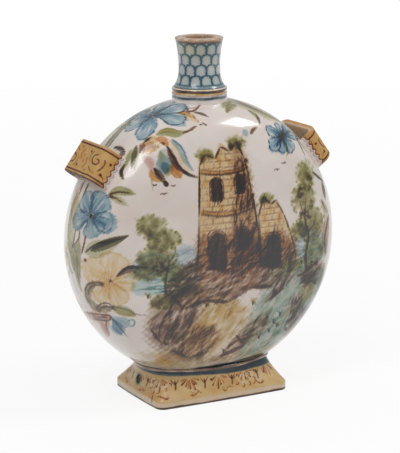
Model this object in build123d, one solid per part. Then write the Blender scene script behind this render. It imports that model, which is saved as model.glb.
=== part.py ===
from build123d import *
import math
import os

# Pilgrim flask in tin-glazed earthenware, built in millimetres.
# The origin is the centre of the foot's base, +Z is up, the painted front faces -Y
# and the two strap loops are on the -X and +X shoulders.
# The body is two press-moulded halves luted together at the upright plane y = 0.

# Body: two lens-shaped halves. The meridian of a half is three tangent arcs:
# the rim, the shoulder and the broad face.
body_width = 237.0
body_depth = 117.0
body_drop_below_bead = 14.9
body_wall = 5.0
rim_radius = 72.0
rim_half_angle = 21.0
shoulder_radius = 35.0

# Luting coil: the roll of clay pressed along the inside of the joint.
coil_radius = 4.0

# Neck: a tube with a waist and a flared lip, which stands on the body's edge.
# Its heights, and the collar's, are taken from the top of the body.
neck_height = 49.5
neck_waist_rise = 26.5
bore_radius = 11.5
neck_lip_radius = 20.0
neck_waist_radius = 17.2
neck_skirt_radius = 21.4
neck_spigot_radius = 18.2
lip_rounding = 1.4
mouth_rounding = 1.6
skirt_edge = 1.2

# Collar: the ring around the foot of the neck.
collar_radius = 22.9
collar_rise = 8.5
collar_rounding = 1.4
collar_groove_radius = 0.9
collar_groove_drop = 3.6

# Foot: a hollow flared pedestal, open below, with a hole for the cord in each end.
foot_width = 125.0
foot_depth = 87.0
foot_lip_height = 7.0
foot_wall = 5.5
foot_corner_radius = 7.5
foot_corner_lead = 0.5
foot_end_bow = 0.9
waist_inset_under_body = 0.9
waist_corner_share = 0.48
waist_end_bow_share = 0.1
waist_end_straight_share = 0.5
foot_flare_power = 1.5
foot_section_shares = (0.0, 0.25, 0.5, 0.75, 1.0)
cord_hole_radius = 3.5
cord_hole_height = 16.0

# Moulding: the raised bead that hides the joint of the body and the foot.
bead_radius = 2.3
bead_height = 28.4
bead_overhang = 0.5

# Strap loops: flat straps that bridge the body's edge at the shoulders.
loop_angle = 36.0
loop_rise_over_rim = 12.0
loop_half_depth = 28.5
loop_length = 30.0
strap_thickness = 5.0
strap_corner_radius = 11.0
strap_edge_rounding = 1.3

# One overrun serves every cut that runs past a surface.
overrun = 6.0

# Sizes worked out from the ones above
body_radius = body_width / 2
body_half_depth = body_depth / 2
body_centre_height = bead_height - body_drop_below_bead + body_radius
body_top_height = body_centre_height + body_radius
total_height = body_top_height + neck_height
neck_waist_height = body_top_height + neck_waist_rise
collar_top_height = body_top_height + collar_rise
loop_reach = body_radius + loop_rise_over_rim
foot_end_straight = foot_depth / 2 - foot_corner_radius - foot_corner_lead


def tangent_quarter(reach, rise, end_radius, end_angle, corner_radius):
    """Three tangent arcs from (reach, 0) to (0, rise), and the centre and radius of the last."""
    turn = math.radians(end_angle)
    corner_x = reach - end_radius + (end_radius - corner_radius) * math.cos(turn)
    corner_y = (end_radius - corner_radius) * math.sin(turn)
    height = rise - corner_y
    side_radius = (corner_x ** 2 + height ** 2 - corner_radius ** 2) / (2 * (height - corner_radius))
    side_angle = math.degrees(math.atan2(corner_y - rise + side_radius, corner_x))
    end_arc = CenterArc((reach - end_radius, 0), end_radius, 0, end_angle)
    corner_arc = CenterArc((corner_x, corner_y), corner_radius, end_angle, side_angle - end_angle)
    side_arc = CenterArc((0, rise - side_radius), side_radius, side_angle, 90 - side_angle)
    return [end_arc, corner_arc, side_arc]


def body_meridian(inset):
    """The body's meridian, moved inwards by an inset, in the plane of radius and depth."""
    return tangent_quarter(
        body_radius - inset,
        body_half_depth - inset,
        rim_radius - inset,
        rim_half_angle,
        shoulder_radius - inset,
    )


def place_body(shape):
    """Turn a shape made around the Y axis so that it sits at the body's height."""
    return Pos(0, 0, body_centre_height) * shape


def body_envelope():
    """The whole outside of the body as one solid, which every fitting is cut to."""
    outer = body_meridian(0)
    axis_line = Line((0, 0), (0, body_half_depth))
    base_line = Line((0, 0), (body_radius, 0))
    half = revolve(make_face(outer + [axis_line, base_line]), Axis.Y)
    return place_body(half + mirror(half, Plane.XZ))


def body_half_depth_at(radius):
    """Half the body's depth at a distance from its axis, on the arc that lies there."""
    for arc in body_meridian(0):
        ends = sorted((arc.position_at(0).X, arc.position_at(1).X))
        if ends[0] <= radius <= ends[1]:
            break
    centre = arc.arc_center
    return centre.Y + math.sqrt(arc.radius ** 2 - (radius - centre.X) ** 2)


def body_outline_at(height):
    """Half the width and half the depth of the body's level section at a height."""
    below_centre = abs(body_centre_height - height)
    half_width = math.sqrt(body_radius ** 2 - below_centre ** 2)
    return half_width, body_half_depth_at(below_centre)


def bore_cutter():
    """The cylinder of the neck's bore, from inside the body to above the lip."""
    start = body_centre_height + body_radius - body_wall - overrun
    length = total_height + overrun - start
    return Pos(0, 0, start) * Cylinder(bore_radius, length, align=(Align.CENTER, Align.CENTER, Align.MIN))


def make_back_shell():
    """One moulded half: the meridian and its inset, revolved, with the neck's hole."""
    outer = body_meridian(0)
    inner = body_meridian(body_wall)
    pole = Line((0, body_half_depth), (0, body_half_depth - body_wall))
    joint = Line((body_radius, 0), (body_radius - body_wall, 0))
    shell = revolve(make_face(outer + [pole, joint] + inner), Axis.Y)
    return place_body(shell) - bore_cutter()


def make_front_shell(back_shell):
    """The other half, from the mirrored mould."""
    return mirror(back_shell, Plane.XZ)


def make_seam_coil():
    """The ring of clay inside the joint, cut to the inner wall, and open under the neck."""
    inner = body_meridian(body_wall)
    axis_line = Line((0, 0), (0, body_half_depth - body_wall))
    base_line = Line((0, 0), (body_radius - body_wall, 0))
    half = revolve(make_face(inner + [axis_line, base_line]), Axis.Y)
    cavity = place_body(half + mirror(half, Plane.XZ))
    ring = Pos(body_radius - body_wall, 0) * Circle(coil_radius)
    return (place_body(revolve(ring, Axis.Y)) & cavity) - bore_cutter()


def make_neck(envelope):
    """The neck's profile, revolved, bored, and cut to the body that it stands on."""
    root = body_centre_height
    skirt_top = collar_top_height + skirt_edge
    lip_height = total_height - lip_rounding
    spigot = Polyline(
        (bore_radius, root),
        (neck_spigot_radius, root),
        (neck_spigot_radius, collar_top_height),
        (neck_skirt_radius, collar_top_height),
        (neck_skirt_radius, skirt_top),
    )
    side = Spline(
        (neck_skirt_radius, skirt_top),
        (neck_waist_radius, neck_waist_height),
        (neck_lip_radius, lip_height),
        tangents=((-1, 1), (0, 1), (1, 3)),
    )
    lip_inner = neck_lip_radius - lip_rounding
    lip = ThreePointArc(
        (neck_lip_radius, lip_height),
        (lip_inner + lip_rounding * math.cos(math.pi / 4), lip_height + lip_rounding * math.sin(math.pi / 4)),
        (lip_inner, total_height),
    )
    mouth_edge = bore_radius + mouth_rounding
    rim = Line((lip_inner, total_height), (mouth_edge, total_height))
    mouth = ThreePointArc(
        (mouth_edge, total_height),
        (
            mouth_edge - mouth_rounding * math.sin(math.pi / 4),
            total_height - mouth_rounding * (1 - math.cos(math.pi / 4)),
        ),
        (bore_radius, total_height - mouth_rounding),
    )
    bore = Line((bore_radius, total_height - mouth_rounding), (bore_radius, root))
    section = Plane.XZ * make_face([spigot, side, lip, rim, mouth, bore])
    return revolve(section, Axis.Z) - envelope


def make_collar(envelope):
    """The ring around the neck's spigot, with a rounded top edge and a groove."""
    root = body_centre_height
    height = collar_top_height - root
    width = collar_radius - neck_spigot_radius
    section = Pos(neck_spigot_radius + width / 2, root + height / 2) * Rectangle(width, height)
    outer_top = section.vertices().sort_by(Axis.Y)[-2:].sort_by(Axis.X)[-1]
    section = fillet(outer_top, collar_rounding)
    groove = Pos(collar_radius, collar_top_height - collar_groove_drop) * Circle(collar_groove_radius)
    ring = revolve(Plane.XZ * (section - groove), Axis.Z)
    return ring - envelope


def closed_outline(half_width, half_depth, end_radius, end_angle, corner_radius):
    """A face bounded by eight tangent arcs: two ends, two sides and four corners."""
    end_arc, corner_arc, side_arc = tangent_quarter(half_width, half_depth, end_radius, end_angle, corner_radius)
    end_whole = CenterArc((half_width - end_radius, 0), end_radius, -end_angle, 2 * end_angle)
    side_radius = side_arc.radius
    side_start = math.degrees(math.atan2(side_arc.position_at(0).Y - half_depth + side_radius, side_arc.position_at(0).X))
    side_whole = CenterArc((0, half_depth - side_radius), side_radius, side_start, 2 * (90 - side_start))
    corner_left = mirror(corner_arc, Plane.YZ)
    end_left = mirror(end_whole, Plane.YZ)
    corner_low_left = mirror(corner_left, Plane.XZ)
    side_low = mirror(side_whole, Plane.XZ)
    corner_low = mirror(corner_arc, Plane.XZ)
    return make_face([end_whole, corner_arc, side_whole, corner_left, end_left, corner_low_left, side_low, corner_low])


def blend(low, high, share):
    """A value between a low and a high one."""
    return low + (high - low) * share


def foot_top_height():
    """The foot is carried past the bead, and the body cuts it off."""
    return bead_height + bead_radius


def foot_outline(share, inset):
    """The foot's outline at a share of the way up its flare, moved inwards by an inset."""
    waist_width, waist_depth = body_outline_at(bead_height)
    waist_width -= waist_inset_under_body
    waist_depth -= waist_inset_under_body
    spread = (1 - share) ** foot_flare_power
    half_width = blend(waist_width, foot_width / 2, spread)
    half_depth = blend(waist_depth, foot_depth / 2, spread)
    corner = blend(waist_depth * waist_corner_share, foot_corner_radius, spread)
    bow = blend(waist_width * waist_end_bow_share, foot_end_bow, spread)
    straight = blend(waist_depth * waist_end_straight_share, foot_end_straight, spread)
    half_turn = 2 * math.atan(bow / straight)
    end_radius = straight / math.sin(half_turn)
    return closed_outline(
        half_width - inset,
        half_depth - inset,
        end_radius - inset,
        math.degrees(half_turn),
        corner - inset,
    )


def flared_block(inset):
    """The foot's flared outside, or with an inset its hollow, as one loft on a straight lip."""
    rise = foot_top_height() - foot_lip_height
    sections = []
    for share in foot_section_shares:
        sections.append(Pos(0, 0, foot_lip_height + rise * share) * foot_outline(share, inset))
    lip = extrude(foot_outline(0, inset), foot_lip_height)
    return loft(sections) + lip


def make_foot(envelope):
    """The hollow pedestal, cut to the underside of the body, with its two cord holes."""
    hollow = flared_block(foot_wall)
    hole = Plane.YZ * Circle(cord_hole_radius)
    through = Pos(0, 0, cord_hole_height) * extrude(hole, foot_width / 2 + overrun, both=True)
    return flared_block(0) - hollow - through - envelope


def make_waist_moulding(envelope, foot):
    """The bead along the joint of the body and the foot, cut to both."""
    half_width, half_depth = body_outline_at(bead_height)
    half_width += bead_overhang
    half_depth += bead_overhang
    bow = half_width * waist_end_bow_share
    straight = half_depth * waist_end_straight_share
    half_turn = 2 * math.atan(bow / straight)
    end_radius = straight / math.sin(half_turn)
    path_face = closed_outline(
        half_width, half_depth, end_radius, math.degrees(half_turn), half_depth * waist_corner_share
    )
    path = Pos(0, 0, bead_height) * path_face.wire()
    start = Plane(origin=path @ 0, z_dir=path % 0)
    bead = sweep(start * Circle(bead_radius), path=path)
    return bead - envelope - foot


def make_strap_loop(envelope, side):
    """A strap bent into a bridge over the body's edge, at one shoulder (-1 left, 1 right)."""
    turn = math.radians(loop_angle)
    outward = Vector(side * math.cos(turn), 0, math.sin(turn))
    along = Vector(-side * math.sin(turn), 0, math.cos(turn))
    root = body_radius - 2 * shoulder_radius
    reach = loop_reach - root
    outer = Pos(root + reach / 2, 0) * Rectangle(reach, 2 * loop_half_depth)
    outer = fillet(outer.vertices().sort_by(Axis.X)[-2:], strap_corner_radius)
    gap_reach = reach - strap_thickness
    gap_half_depth = loop_half_depth - strap_thickness
    gap = Pos(root + gap_reach / 2, 0) * Rectangle(gap_reach, 2 * gap_half_depth)
    gap = fillet(gap.vertices().sort_by(Axis.X)[-2:], strap_corner_radius - strap_thickness)
    across = Plane(origin=(0, 0, body_centre_height), x_dir=outward, z_dir=along)
    strap = extrude(across * (outer - gap), loop_length / 2, both=True)
    ends = strap.faces().filter_by(lambda face: abs(face.normal_at().dot(along)) > 0.99)
    strap = fillet(ends.edges(), strap_edge_rounding)
    return strap - envelope


def main():
    envelope = body_envelope()
    back_shell = make_back_shell()
    foot = make_foot(envelope)
    pieces = {
        "back_shell": back_shell,
        "front_shell": make_front_shell(back_shell),
        "seam_coil": make_seam_coil(),
        "neck": make_neck(envelope),
        "neck_collar": make_collar(envelope),
        "foot": foot,
        "waist_moulding": make_waist_moulding(envelope, foot),
        "left_strap_loop": make_strap_loop(envelope, -1),
        "right_strap_loop": make_strap_loop(envelope, 1),
    }
    os.makedirs("parts", exist_ok=True)
    for name, shape in pieces.items():
        export_step(shape, f"parts/{name}.step")


if __name__ == "__main__":
    main()
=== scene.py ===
"""A painted pilgrim flask in tin-glazed earthenware, with its glazes, its brushwork and a studio."""

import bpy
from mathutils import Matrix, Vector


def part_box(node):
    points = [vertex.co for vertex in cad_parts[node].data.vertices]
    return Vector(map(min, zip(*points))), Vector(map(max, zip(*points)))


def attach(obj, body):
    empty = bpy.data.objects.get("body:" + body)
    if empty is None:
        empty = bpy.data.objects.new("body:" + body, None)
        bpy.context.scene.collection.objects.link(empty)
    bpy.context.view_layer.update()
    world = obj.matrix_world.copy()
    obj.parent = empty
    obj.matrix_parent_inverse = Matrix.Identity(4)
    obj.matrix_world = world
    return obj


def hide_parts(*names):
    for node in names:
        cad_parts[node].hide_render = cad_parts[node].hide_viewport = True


bl_info = {
    "name": "Pilgrim Flask",
    "version": (1, 0, 0),
    "blender": (4, 5, 0),
    "location": "3D View > Sidebar > Flask",
    "description": "Builds the glazed and painted pieces of a pilgrim flask on their fired shapes",
    "category": "Object",
}

from math import acos, atan2, cos, hypot, log, pi, radians, sin, sqrt, tan

import bmesh
import bpy
import numpy as np
from bpy.props import FloatProperty, FloatVectorProperty, PointerProperty
from mathutils import Matrix, Vector, kdtree

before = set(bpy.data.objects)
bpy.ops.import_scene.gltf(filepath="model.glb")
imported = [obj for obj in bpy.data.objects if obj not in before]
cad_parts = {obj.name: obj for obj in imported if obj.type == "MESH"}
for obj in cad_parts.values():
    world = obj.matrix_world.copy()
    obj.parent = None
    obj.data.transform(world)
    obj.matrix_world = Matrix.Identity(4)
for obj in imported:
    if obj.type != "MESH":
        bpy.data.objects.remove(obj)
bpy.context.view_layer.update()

mm = 0.001
IMAGE_WIDTH = 400
IMAGE_HEIGHT = 453

# Places that the fired shapes give
SHELL_LOW, SHELL_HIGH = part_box("front_shell")
BODY_RADIUS = (SHELL_HIGH.x - SHELL_LOW.x) / 2
BODY_DEPTH = SHELL_HIGH.y - SHELL_LOW.y
BODY_CENTRE = np.array((0.0, 0.0, SHELL_LOW.z + BODY_RADIUS))
FOOT_LOW, FOOT_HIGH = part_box("foot")
BEAD_LOW, BEAD_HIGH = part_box("waist_moulding")
NECK_LOW, NECK_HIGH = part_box("neck")
COLLAR_LOW, COLLAR_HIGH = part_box("neck_collar")

# The colours that the brush has, in the order of their channels
COBALT, COPPER, ANTIMONY, IRON, MANGANESE, PINK, TURQUOISE, BARE = range(8)
PIGMENT_COUNT = 8
LIFT = None


def clamp(values):
    """Values held between 0 and 1."""
    return np.clip(values, 0, 1)


def bell(values, width):
    """1 where a value is 0, and less and less away from there."""
    return np.exp(-((values / width) ** 2))


def pairs(*numbers):
    """Points from a row of numbers."""
    return tuple(zip(numbers[::2], numbers[1::2]))


def polar(turn, reach=1.0):
    """The flat point at an angle and a distance."""
    return reach * cos(turn), reach * sin(turn)


def length(name, description, millimetres):
    """A property for a length."""
    kind = {"unit": "LENGTH", "subtype": "DISTANCE", "precision": 5}
    return FloatProperty(name=name, description=description, default=millimetres * mm, min=0.0, **kind)


def angle(name, description, degrees):
    """A property for an angle."""
    kind = {"unit": "ROTATION", "subtype": "ANGLE"}
    return FloatProperty(name=name, description=description, default=radians(degrees), **kind)


def share(name, description, default, unit="NONE"):
    """A property for a plain number."""
    return FloatProperty(name=name, description=description, default=default, unit=unit)


def colour(name, description, *levels):
    """A property for a colour, given as 0 to 255 the way a screen shows it."""
    values = [level / 255 for level in levels]
    linear = [value / 12.92 if value <= 0.04045 else ((value + 0.055) / 1.055) ** 2.4 for value in values]
    kind = {"size": 3, "min": 0.0, "max": 1.0, "subtype": "COLOR"}
    return FloatVectorProperty(name=name, description=description, default=linear, **kind)


class FlaskSizes(bpy.types.PropertyGroup):
    """Sizes of the thrown and moulded pieces that their outer boxes don't give."""

    wall: length("Body wall", "Thickness of the halves", 5)
    rim_radius: length("Rim radius", "Radius of the meridian at the joint", 72)
    rim_turn: angle("Rim turn", "Angle of the rim's arc beside the joint", 21)
    shoulder_radius: length("Shoulder", "Radius of the meridian between rim and face", 35)
    bore_radius: length("Bore radius", "Radius of the bore", 11.5)
    neck_waist: length("Neck waist", "Radius at the narrowest", 17.2)
    neck_lip: length("Neck lip", "Radius at the lip", 20)
    neck_spigot: length("Neck spigot", "Radius inside the collar", 18.2)
    lip_rounding: length("Lip rounding", "Radius of the lip's edge", 1.4)
    waist_rise: length("Waist rise", "Height of the waist over the collar", 18)
    foot_wall: length("Foot wall", "Thickness of the foot", 5.5)
    foot_lip: length("Foot lip", "Height of the upright edge", 7)
    foot_corner: length("Foot corner", "Radius of the corners", 7.5)
    foot_bow: length("Foot bow", "Rise of the bowed ends", 0.9)
    foot_straight: length("Foot end", "Half chord of the bowed ends", 35.5)
    waist_inset: length("Waist inset", "Step from the body to the foot", 0.9)
    flare_power: share("Flare", "How sharply the foot flares near its base", 1.5)
    cord_hole: length("Cord hole", "Radius of the cord holes", 3.5)
    cord_hole_height: length("Cord hole height", "Height of the cord holes", 16)
    bead: length("Bead", "Radius of the bead at the waist", 2.3)
    bead_overhang: length("Bead overhang", "How far its centre stands out", 0.5)
    loop_angle: angle("Loop angle", "Angle above the body's middle", 36)
    loop_rise: length("Loop rise", "How far the loops stand out of the rim", 12)
    loop_half_depth: length("Loop half depth", "Half the outside depth", 28.5)
    loop_length: length("Loop length", "Length along the rim", 30)
    strap: length("Strap", "Thickness of the strap", 5)
    strap_corner: length("Strap corner", "Outer radius of the bends", 11)
    strap_edge: length("Strap edge", "Radius of the edges", 1.3)
    unevenness: length("Unevenness", "How far the surface strays inwards", 0.35)


class FlaskColours(bpy.types.PropertyGroup):
    """Colours of the glaze, of the pigments at full strength and of the bare clay."""

    white: colour("White glaze", "Tin glaze of the body", 219, 209, 202)
    cobalt: colour("Cobalt blue", "Flowers and scales", 88, 136, 172)
    copper: colour("Copper green", "Leaves and trees", 140, 146, 88)
    antimony: colour("Antimony yellow", "Petals, straps and foot", 224, 184, 104)
    iron: colour("Iron orange", "Shading and rays", 205, 128, 66)
    manganese: colour("Manganese brown", "Outlines and hatching", 62, 42, 38)
    pink: colour("Pink wash", "Soft shadows", 208, 172, 164)
    turquoise: colour("Turquoise", "Lines and washes", 70, 142, 150)
    clay: colour("Bare clay", "Clay where the glaze is missing", 176, 142, 112)


class FlaskStudio(bpy.types.PropertyGroup):
    """The camera's stand and the lamps."""

    azimuth: angle("Azimuth", "Turn of the camera around the flask", -28.05)
    elevation: angle("Elevation", "Height of the camera over the level", 12.42)
    roll: angle("Roll", "Turn of the camera around its own axis", 0.33)
    distance: length("Distance", "From the camera to the point it turns around", 1600)
    aim_height: length("Aim height", "Height of the point it turns around", 150)
    focal_pixels: share("Focal length", "Focal length in pixels", 1911.2)
    shift_x_pixels: share("Shift right", "Shift of the picture in pixels", -0.1)
    shift_y_pixels: share("Shift up", "Shift of the picture in pixels", -11.45)
    key_power: share("Key lamp", "Power of the large lamp", 8.0, "POWER")
    fill_power: share("Fill lamp", "Power of the second lamp", 7.6, "POWER")
    sky: share("Surround", "Strength of the pale surround", 0.54)
    floor_glow: share("Floor glow", "Lift of the floor towards white", 0.85)


def sizes():
    return bpy.context.scene.flask_sizes


def colours():
    return bpy.context.scene.flask_colours


def studio():
    return bpy.context.scene.flask_studio


# The body's surface


def quarter_arcs(reach, rise, end_radius, turn, corner_radius):
    """Centre, radius, first and last angle of three tangent arcs from (0, rise) to (reach, 0)."""
    corner_x = reach - end_radius + (end_radius - corner_radius) * cos(turn)
    corner_y = (end_radius - corner_radius) * sin(turn)
    height = rise - corner_y
    side_radius = (corner_x**2 + height**2 - corner_radius**2) / (2 * (height - corner_radius))
    side_turn = atan2(corner_y - rise + side_radius, corner_x)
    return (
        ((0.0, rise - side_radius), side_radius, pi / 2, side_turn),
        ((corner_x, corner_y), corner_radius, side_turn, turn),
        ((reach - end_radius, 0.0), end_radius, turn, 0.0),
    )


def arc_points(arcs, inset, step):
    """Points along arcs that follow each other, moved inwards by an inset."""
    runs = []
    for centre, radius, first, last in arcs:
        count = max(2, int(abs(first - last) * (radius - inset) / step) + 1)
        turns = np.linspace(first, last, count)
        run = np.array(centre) + (radius - inset) * np.stack((np.cos(turns), np.sin(turns)), 1)
        runs.append(run if not runs else run[1:])
    return np.concatenate(runs)


def body_profile(inset, step=0.25 * mm):
    """The body's meridian from the pole of the face to the joint: distance from the axis, and depth."""
    s = sizes()
    arcs = quarter_arcs(BODY_RADIUS, BODY_DEPTH, s.rim_radius, s.rim_turn, s.shoulder_radius)
    points = arc_points(arcs, inset, step)
    points[0, 0] = 0.0
    points[-1, 1] = 0.0
    return points


def run_lengths(points):
    """The length along a row of points, up to each of them."""
    return np.concatenate(([0.0], np.cumsum(np.linalg.norm(np.diff(points, axis=0), axis=1))))


def unevenness(points):
    """A slow, smooth number between 0 and 1 that differs from place to place."""
    waves = ((41.0, 17.0, 29.0, 0.4), (-23.0, 37.0, 53.0, 1.9), (67.0, -31.0, 19.0, 4.1),
        (13.0, 59.0, -71.0, 2.7))
    total = sum(np.sin(points @ np.array(wave[:3]) * 1.4 + wave[3]) for wave in waves)
    return 0.5 + total / (2 * len(waves))


def shrink_by_hand(points):
    """The points of the body's skin, drawn in a little here and there as a hand-pressed body is."""
    away = points - BODY_CENTRE
    return BODY_CENTRE + away * (1 - (sizes().unevenness / BODY_RADIUS) * unevenness(points))[:, None]


# Meshes

WELD = 0.004 * mm


def piece_from(bm, name, sharp_degrees=35.0):
    """Finish a bmesh as a piece: welded, turned outwards, smooth but for its real edges."""
    bmesh.ops.remove_doubles(bm, verts=bm.verts, dist=WELD)
    bmesh.ops.dissolve_degenerate(bm, edges=bm.edges, dist=WELD / 2)
    bmesh.ops.recalc_face_normals(bm, faces=bm.faces)
    piece = bpy.data.objects.new(name, bpy.data.meshes.new(name))
    bpy.context.scene.collection.objects.link(piece)
    finish_edges(bm, piece.data, sharp_degrees)
    return piece


def finish_edges(bm, mesh, sharp_degrees):
    """Shade a mesh smooth, and keep the edges sharp that turn by more than an angle."""
    bm.normal_update()
    for face in bm.faces:
        face.smooth = True
    for edge in bm.edges:
        edge.smooth = edge.calc_face_angle(0.0) < radians(sharp_degrees)
    bm.to_mesh(mesh)
    bm.free()


def add_sheet(bm, rows):
    """A grid of quads through rows of points, each row a ring that meets its own start."""
    rows = np.concatenate((rows, rows[:, :1]), axis=1)
    made = bmesh.ops.create_grid(bm, x_segments=rows.shape[1] - 1, y_segments=rows.shape[0] - 1, size=1.0)
    for vert, place in zip(made["verts"], rows.reshape(-1, 3)):
        vert.co = place


def ring_piece(name, rows, sharp_degrees=35.0):
    """A closed piece through rings of points: the last ring meets the first one again."""
    bm = bmesh.new()
    add_sheet(bm, np.concatenate((rows, rows[:1])))
    return piece_from(bm, name, sharp_degrees)


def capped_piece(name, rows, sharp_degrees=35.0):
    """A closed piece through rings of points, with a flat cap over the first and the last ring."""
    bm = bmesh.new()
    add_sheet(bm, rows)
    bmesh.ops.remove_doubles(bm, verts=bm.verts, dist=WELD)
    bmesh.ops.holes_fill(bm, edges=[edge for edge in bm.edges if edge.is_boundary])
    return piece_from(bm, name, sharp_degrees)


def cut_away(piece, *cutters):
    """Take closed shapes out of a piece, for good."""
    for cutter in cutters:
        modifier = piece.modifiers.new("cut", "BOOLEAN")
        modifier.operation = "DIFFERENCE"
        modifier.solver = "MANIFOLD"
        modifier.object = cutter
    bpy.context.view_layer.update()
    old = piece.data
    piece.data = bpy.data.meshes.new_from_object(piece.evaluated_get(bpy.context.evaluated_depsgraph_get()))
    if not len(piece.data.polygons):
        raise RuntimeError(f"nothing is left of {piece.name} after its cuts")
    piece.modifiers.clear()
    bpy.data.meshes.remove(old)
    piece.data.name = piece.name
    bm = bmesh.new()
    bm.from_mesh(piece.data)
    bmesh.ops.dissolve_degenerate(bm, edges=bm.edges, dist=WELD / 2)
    finish_edges(bm, piece.data, 35.0)


def drop(*shapes):
    """Remove shapes that only served to cut."""
    for shape in shapes:
        mesh = shape.data
        bpy.data.objects.remove(shape)
        bpy.data.meshes.remove(mesh)


def round_cutter(radius, start, end, segments=96):
    """A round bar from one point to another."""
    start, end = Vector(start), Vector(end)
    matrix = Vector((0, 0, 1)).rotation_difference(end - start).to_matrix().to_4x4()
    matrix.translation = (start + end) / 2
    form = {"radius1": radius, "radius2": radius, "depth": (end - start).length, "matrix": matrix}
    bm = bmesh.new()
    bmesh.ops.create_cone(bm, cap_ends=True, segments=segments, **form)
    return piece_from(bm, "hole")


def turned_rows(profile, count):
    """Rings around the Z axis through points that give distance from the axis and height."""
    turns = np.linspace(0, 2 * pi, count, endpoint=False)
    around = np.stack((np.cos(turns), np.sin(turns), np.zeros(count)), 1)
    return profile[:, None, :1] * around[None] + profile[:, None, 1:] * np.array((0, 0, 1.0))


def spread(points, step):
    """Points evenly spaced along a path of points."""
    lengths = run_lengths(points)
    count = max(2, int(lengths[-1] / step) + 1)
    targets = np.linspace(0, lengths[-1], count)
    return np.stack([np.interp(targets, lengths, points[:, k]) for k in range(points.shape[1])], 1)


def fillet_path(corners, radii, step):
    """A path through corner points in a plane, with each inner corner rounded by its radius."""
    corners = np.array(corners, float)
    points = [corners[0]]
    for before, here, after, radius in zip(corners[:-2], corners[1:-1], corners[2:], radii):
        into = (here - before) / np.linalg.norm(here - before)
        out = (after - here) / np.linalg.norm(after - here)
        turn = acos(max(-1.0, min(1.0, float(into @ out))))
        if radius == 0 or turn == 0:
            points.append(here)
            continue
        start = here - into * (radius * tan(turn / 2))
        side = out - into * float(into @ out)
        side /= np.linalg.norm(side)
        count = max(3, int(radius * turn / step))
        for k in range(count + 1):
            a = turn * k / count
            points.append(start + into * radius * sin(a) + side * radius * (1 - cos(a)))
    return np.array([*points, corners[-1]])


def make_envelope(shrink=0.9955):
    """The body's outside as one closed shape, a hair smaller than the body, that cuts its fittings."""
    profile = spread(body_profile(0.0), 1.5 * mm)
    both = np.concatenate((profile, profile[-2::-1] * (1, -1)))
    both[0, 0] = both[-1, 0] = 0.01 * mm
    rows = turned_rows(both, 180)
    rows = np.stack((rows[..., 0], rows[..., 2], rows[..., 1]), -1) * shrink + BODY_CENTRE
    return capped_piece("envelope", rows)


# Body


CORE_RINGS = 84
CORE_STEP = 0.9 * mm
SKIN_STEP = 0.86 * mm
INSIDE_STEP = 9.0 * mm


def half_shell(name, side):
    """One moulded half: a round net of quads for the skin, folded over the joint and along the inside."""
    wall = sizes().wall
    outer = body_profile(0.0)
    path = np.concatenate((outer, body_profile(wall)[::-1]))
    lengths = run_lengths(path)
    skin_end = run_lengths(outer)[-1]
    core_end = CORE_RINGS * CORE_STEP
    skin = np.linspace(core_end, skin_end, int((skin_end - core_end) / SKIN_STEP) + 1)
    joint_end = skin_end + wall
    inside = np.linspace(joint_end, lengths[-1], int((lengths[-1] - joint_end) / INSIDE_STEP) + 1)

    bm = bmesh.new()
    core = bmesh.ops.create_grid(bm, x_segments=2 * CORE_RINGS, y_segments=2 * CORE_RINGS, size=1.0)
    for vert in core["verts"]:
        a, b = vert.co.x, vert.co.y
        if abs(a) < 1e-9 and abs(b) < 1e-9:
            continue
        if abs(a) >= abs(b):
            reach, turn = abs(a), pi / 4 * (b / a) + (pi if a < 0 else 0.0)
        else:
            reach, turn = abs(b), pi / 2 - pi / 4 * (a / b) + (pi if b < 0 else 0.0)
        vert.co = (reach * core_end * cos(turn), reach * core_end * sin(turn), 0)
    turns = np.arange(8 * CORE_RINGS) * 2 * pi / (8 * CORE_RINGS)
    flat = np.stack((np.cos(turns), np.sin(turns), np.zeros(len(turns))), 1)
    add_sheet(bm, np.concatenate((skin, inside))[:, None, None] * flat[None])
    for vert in bm.verts:
        run = hypot(vert.co.x, vert.co.y)
        radius, depth = (float(np.interp(run, lengths, path[:, k])) for k in (0, 1))
        if run > lengths[-1] - 0.01 * mm:
            radius = 0.0
        scale = radius / run if run > 0 else 0.0
        vert.co = (vert.co.x * scale, side * depth, vert.co.y * scale)
    bmesh.ops.translate(bm, verts=bm.verts, vec=BODY_CENTRE)
    for vert, place in zip(bm.verts, shrink_by_hand(np.array([v.co for v in bm.verts]))):
        vert.co = place
    return piece_from(bm, name, 50.0)


def make_body():
    """Both halves, with the hole under the neck."""
    top = BODY_CENTRE[2] + BODY_RADIUS
    halves = [half_shell("painted_front_half", -1), half_shell("painted_back_half", 1)]
    for half in halves:
        hole = round_cutter(sizes().bore_radius, (0, 0, top - 12 * mm), (0, 0, top + 6 * mm))
        cut_away(half, hole)
        drop(hole)
    return halves


# Neck and collar

SPIGOT_DROP = 8 * mm


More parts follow.
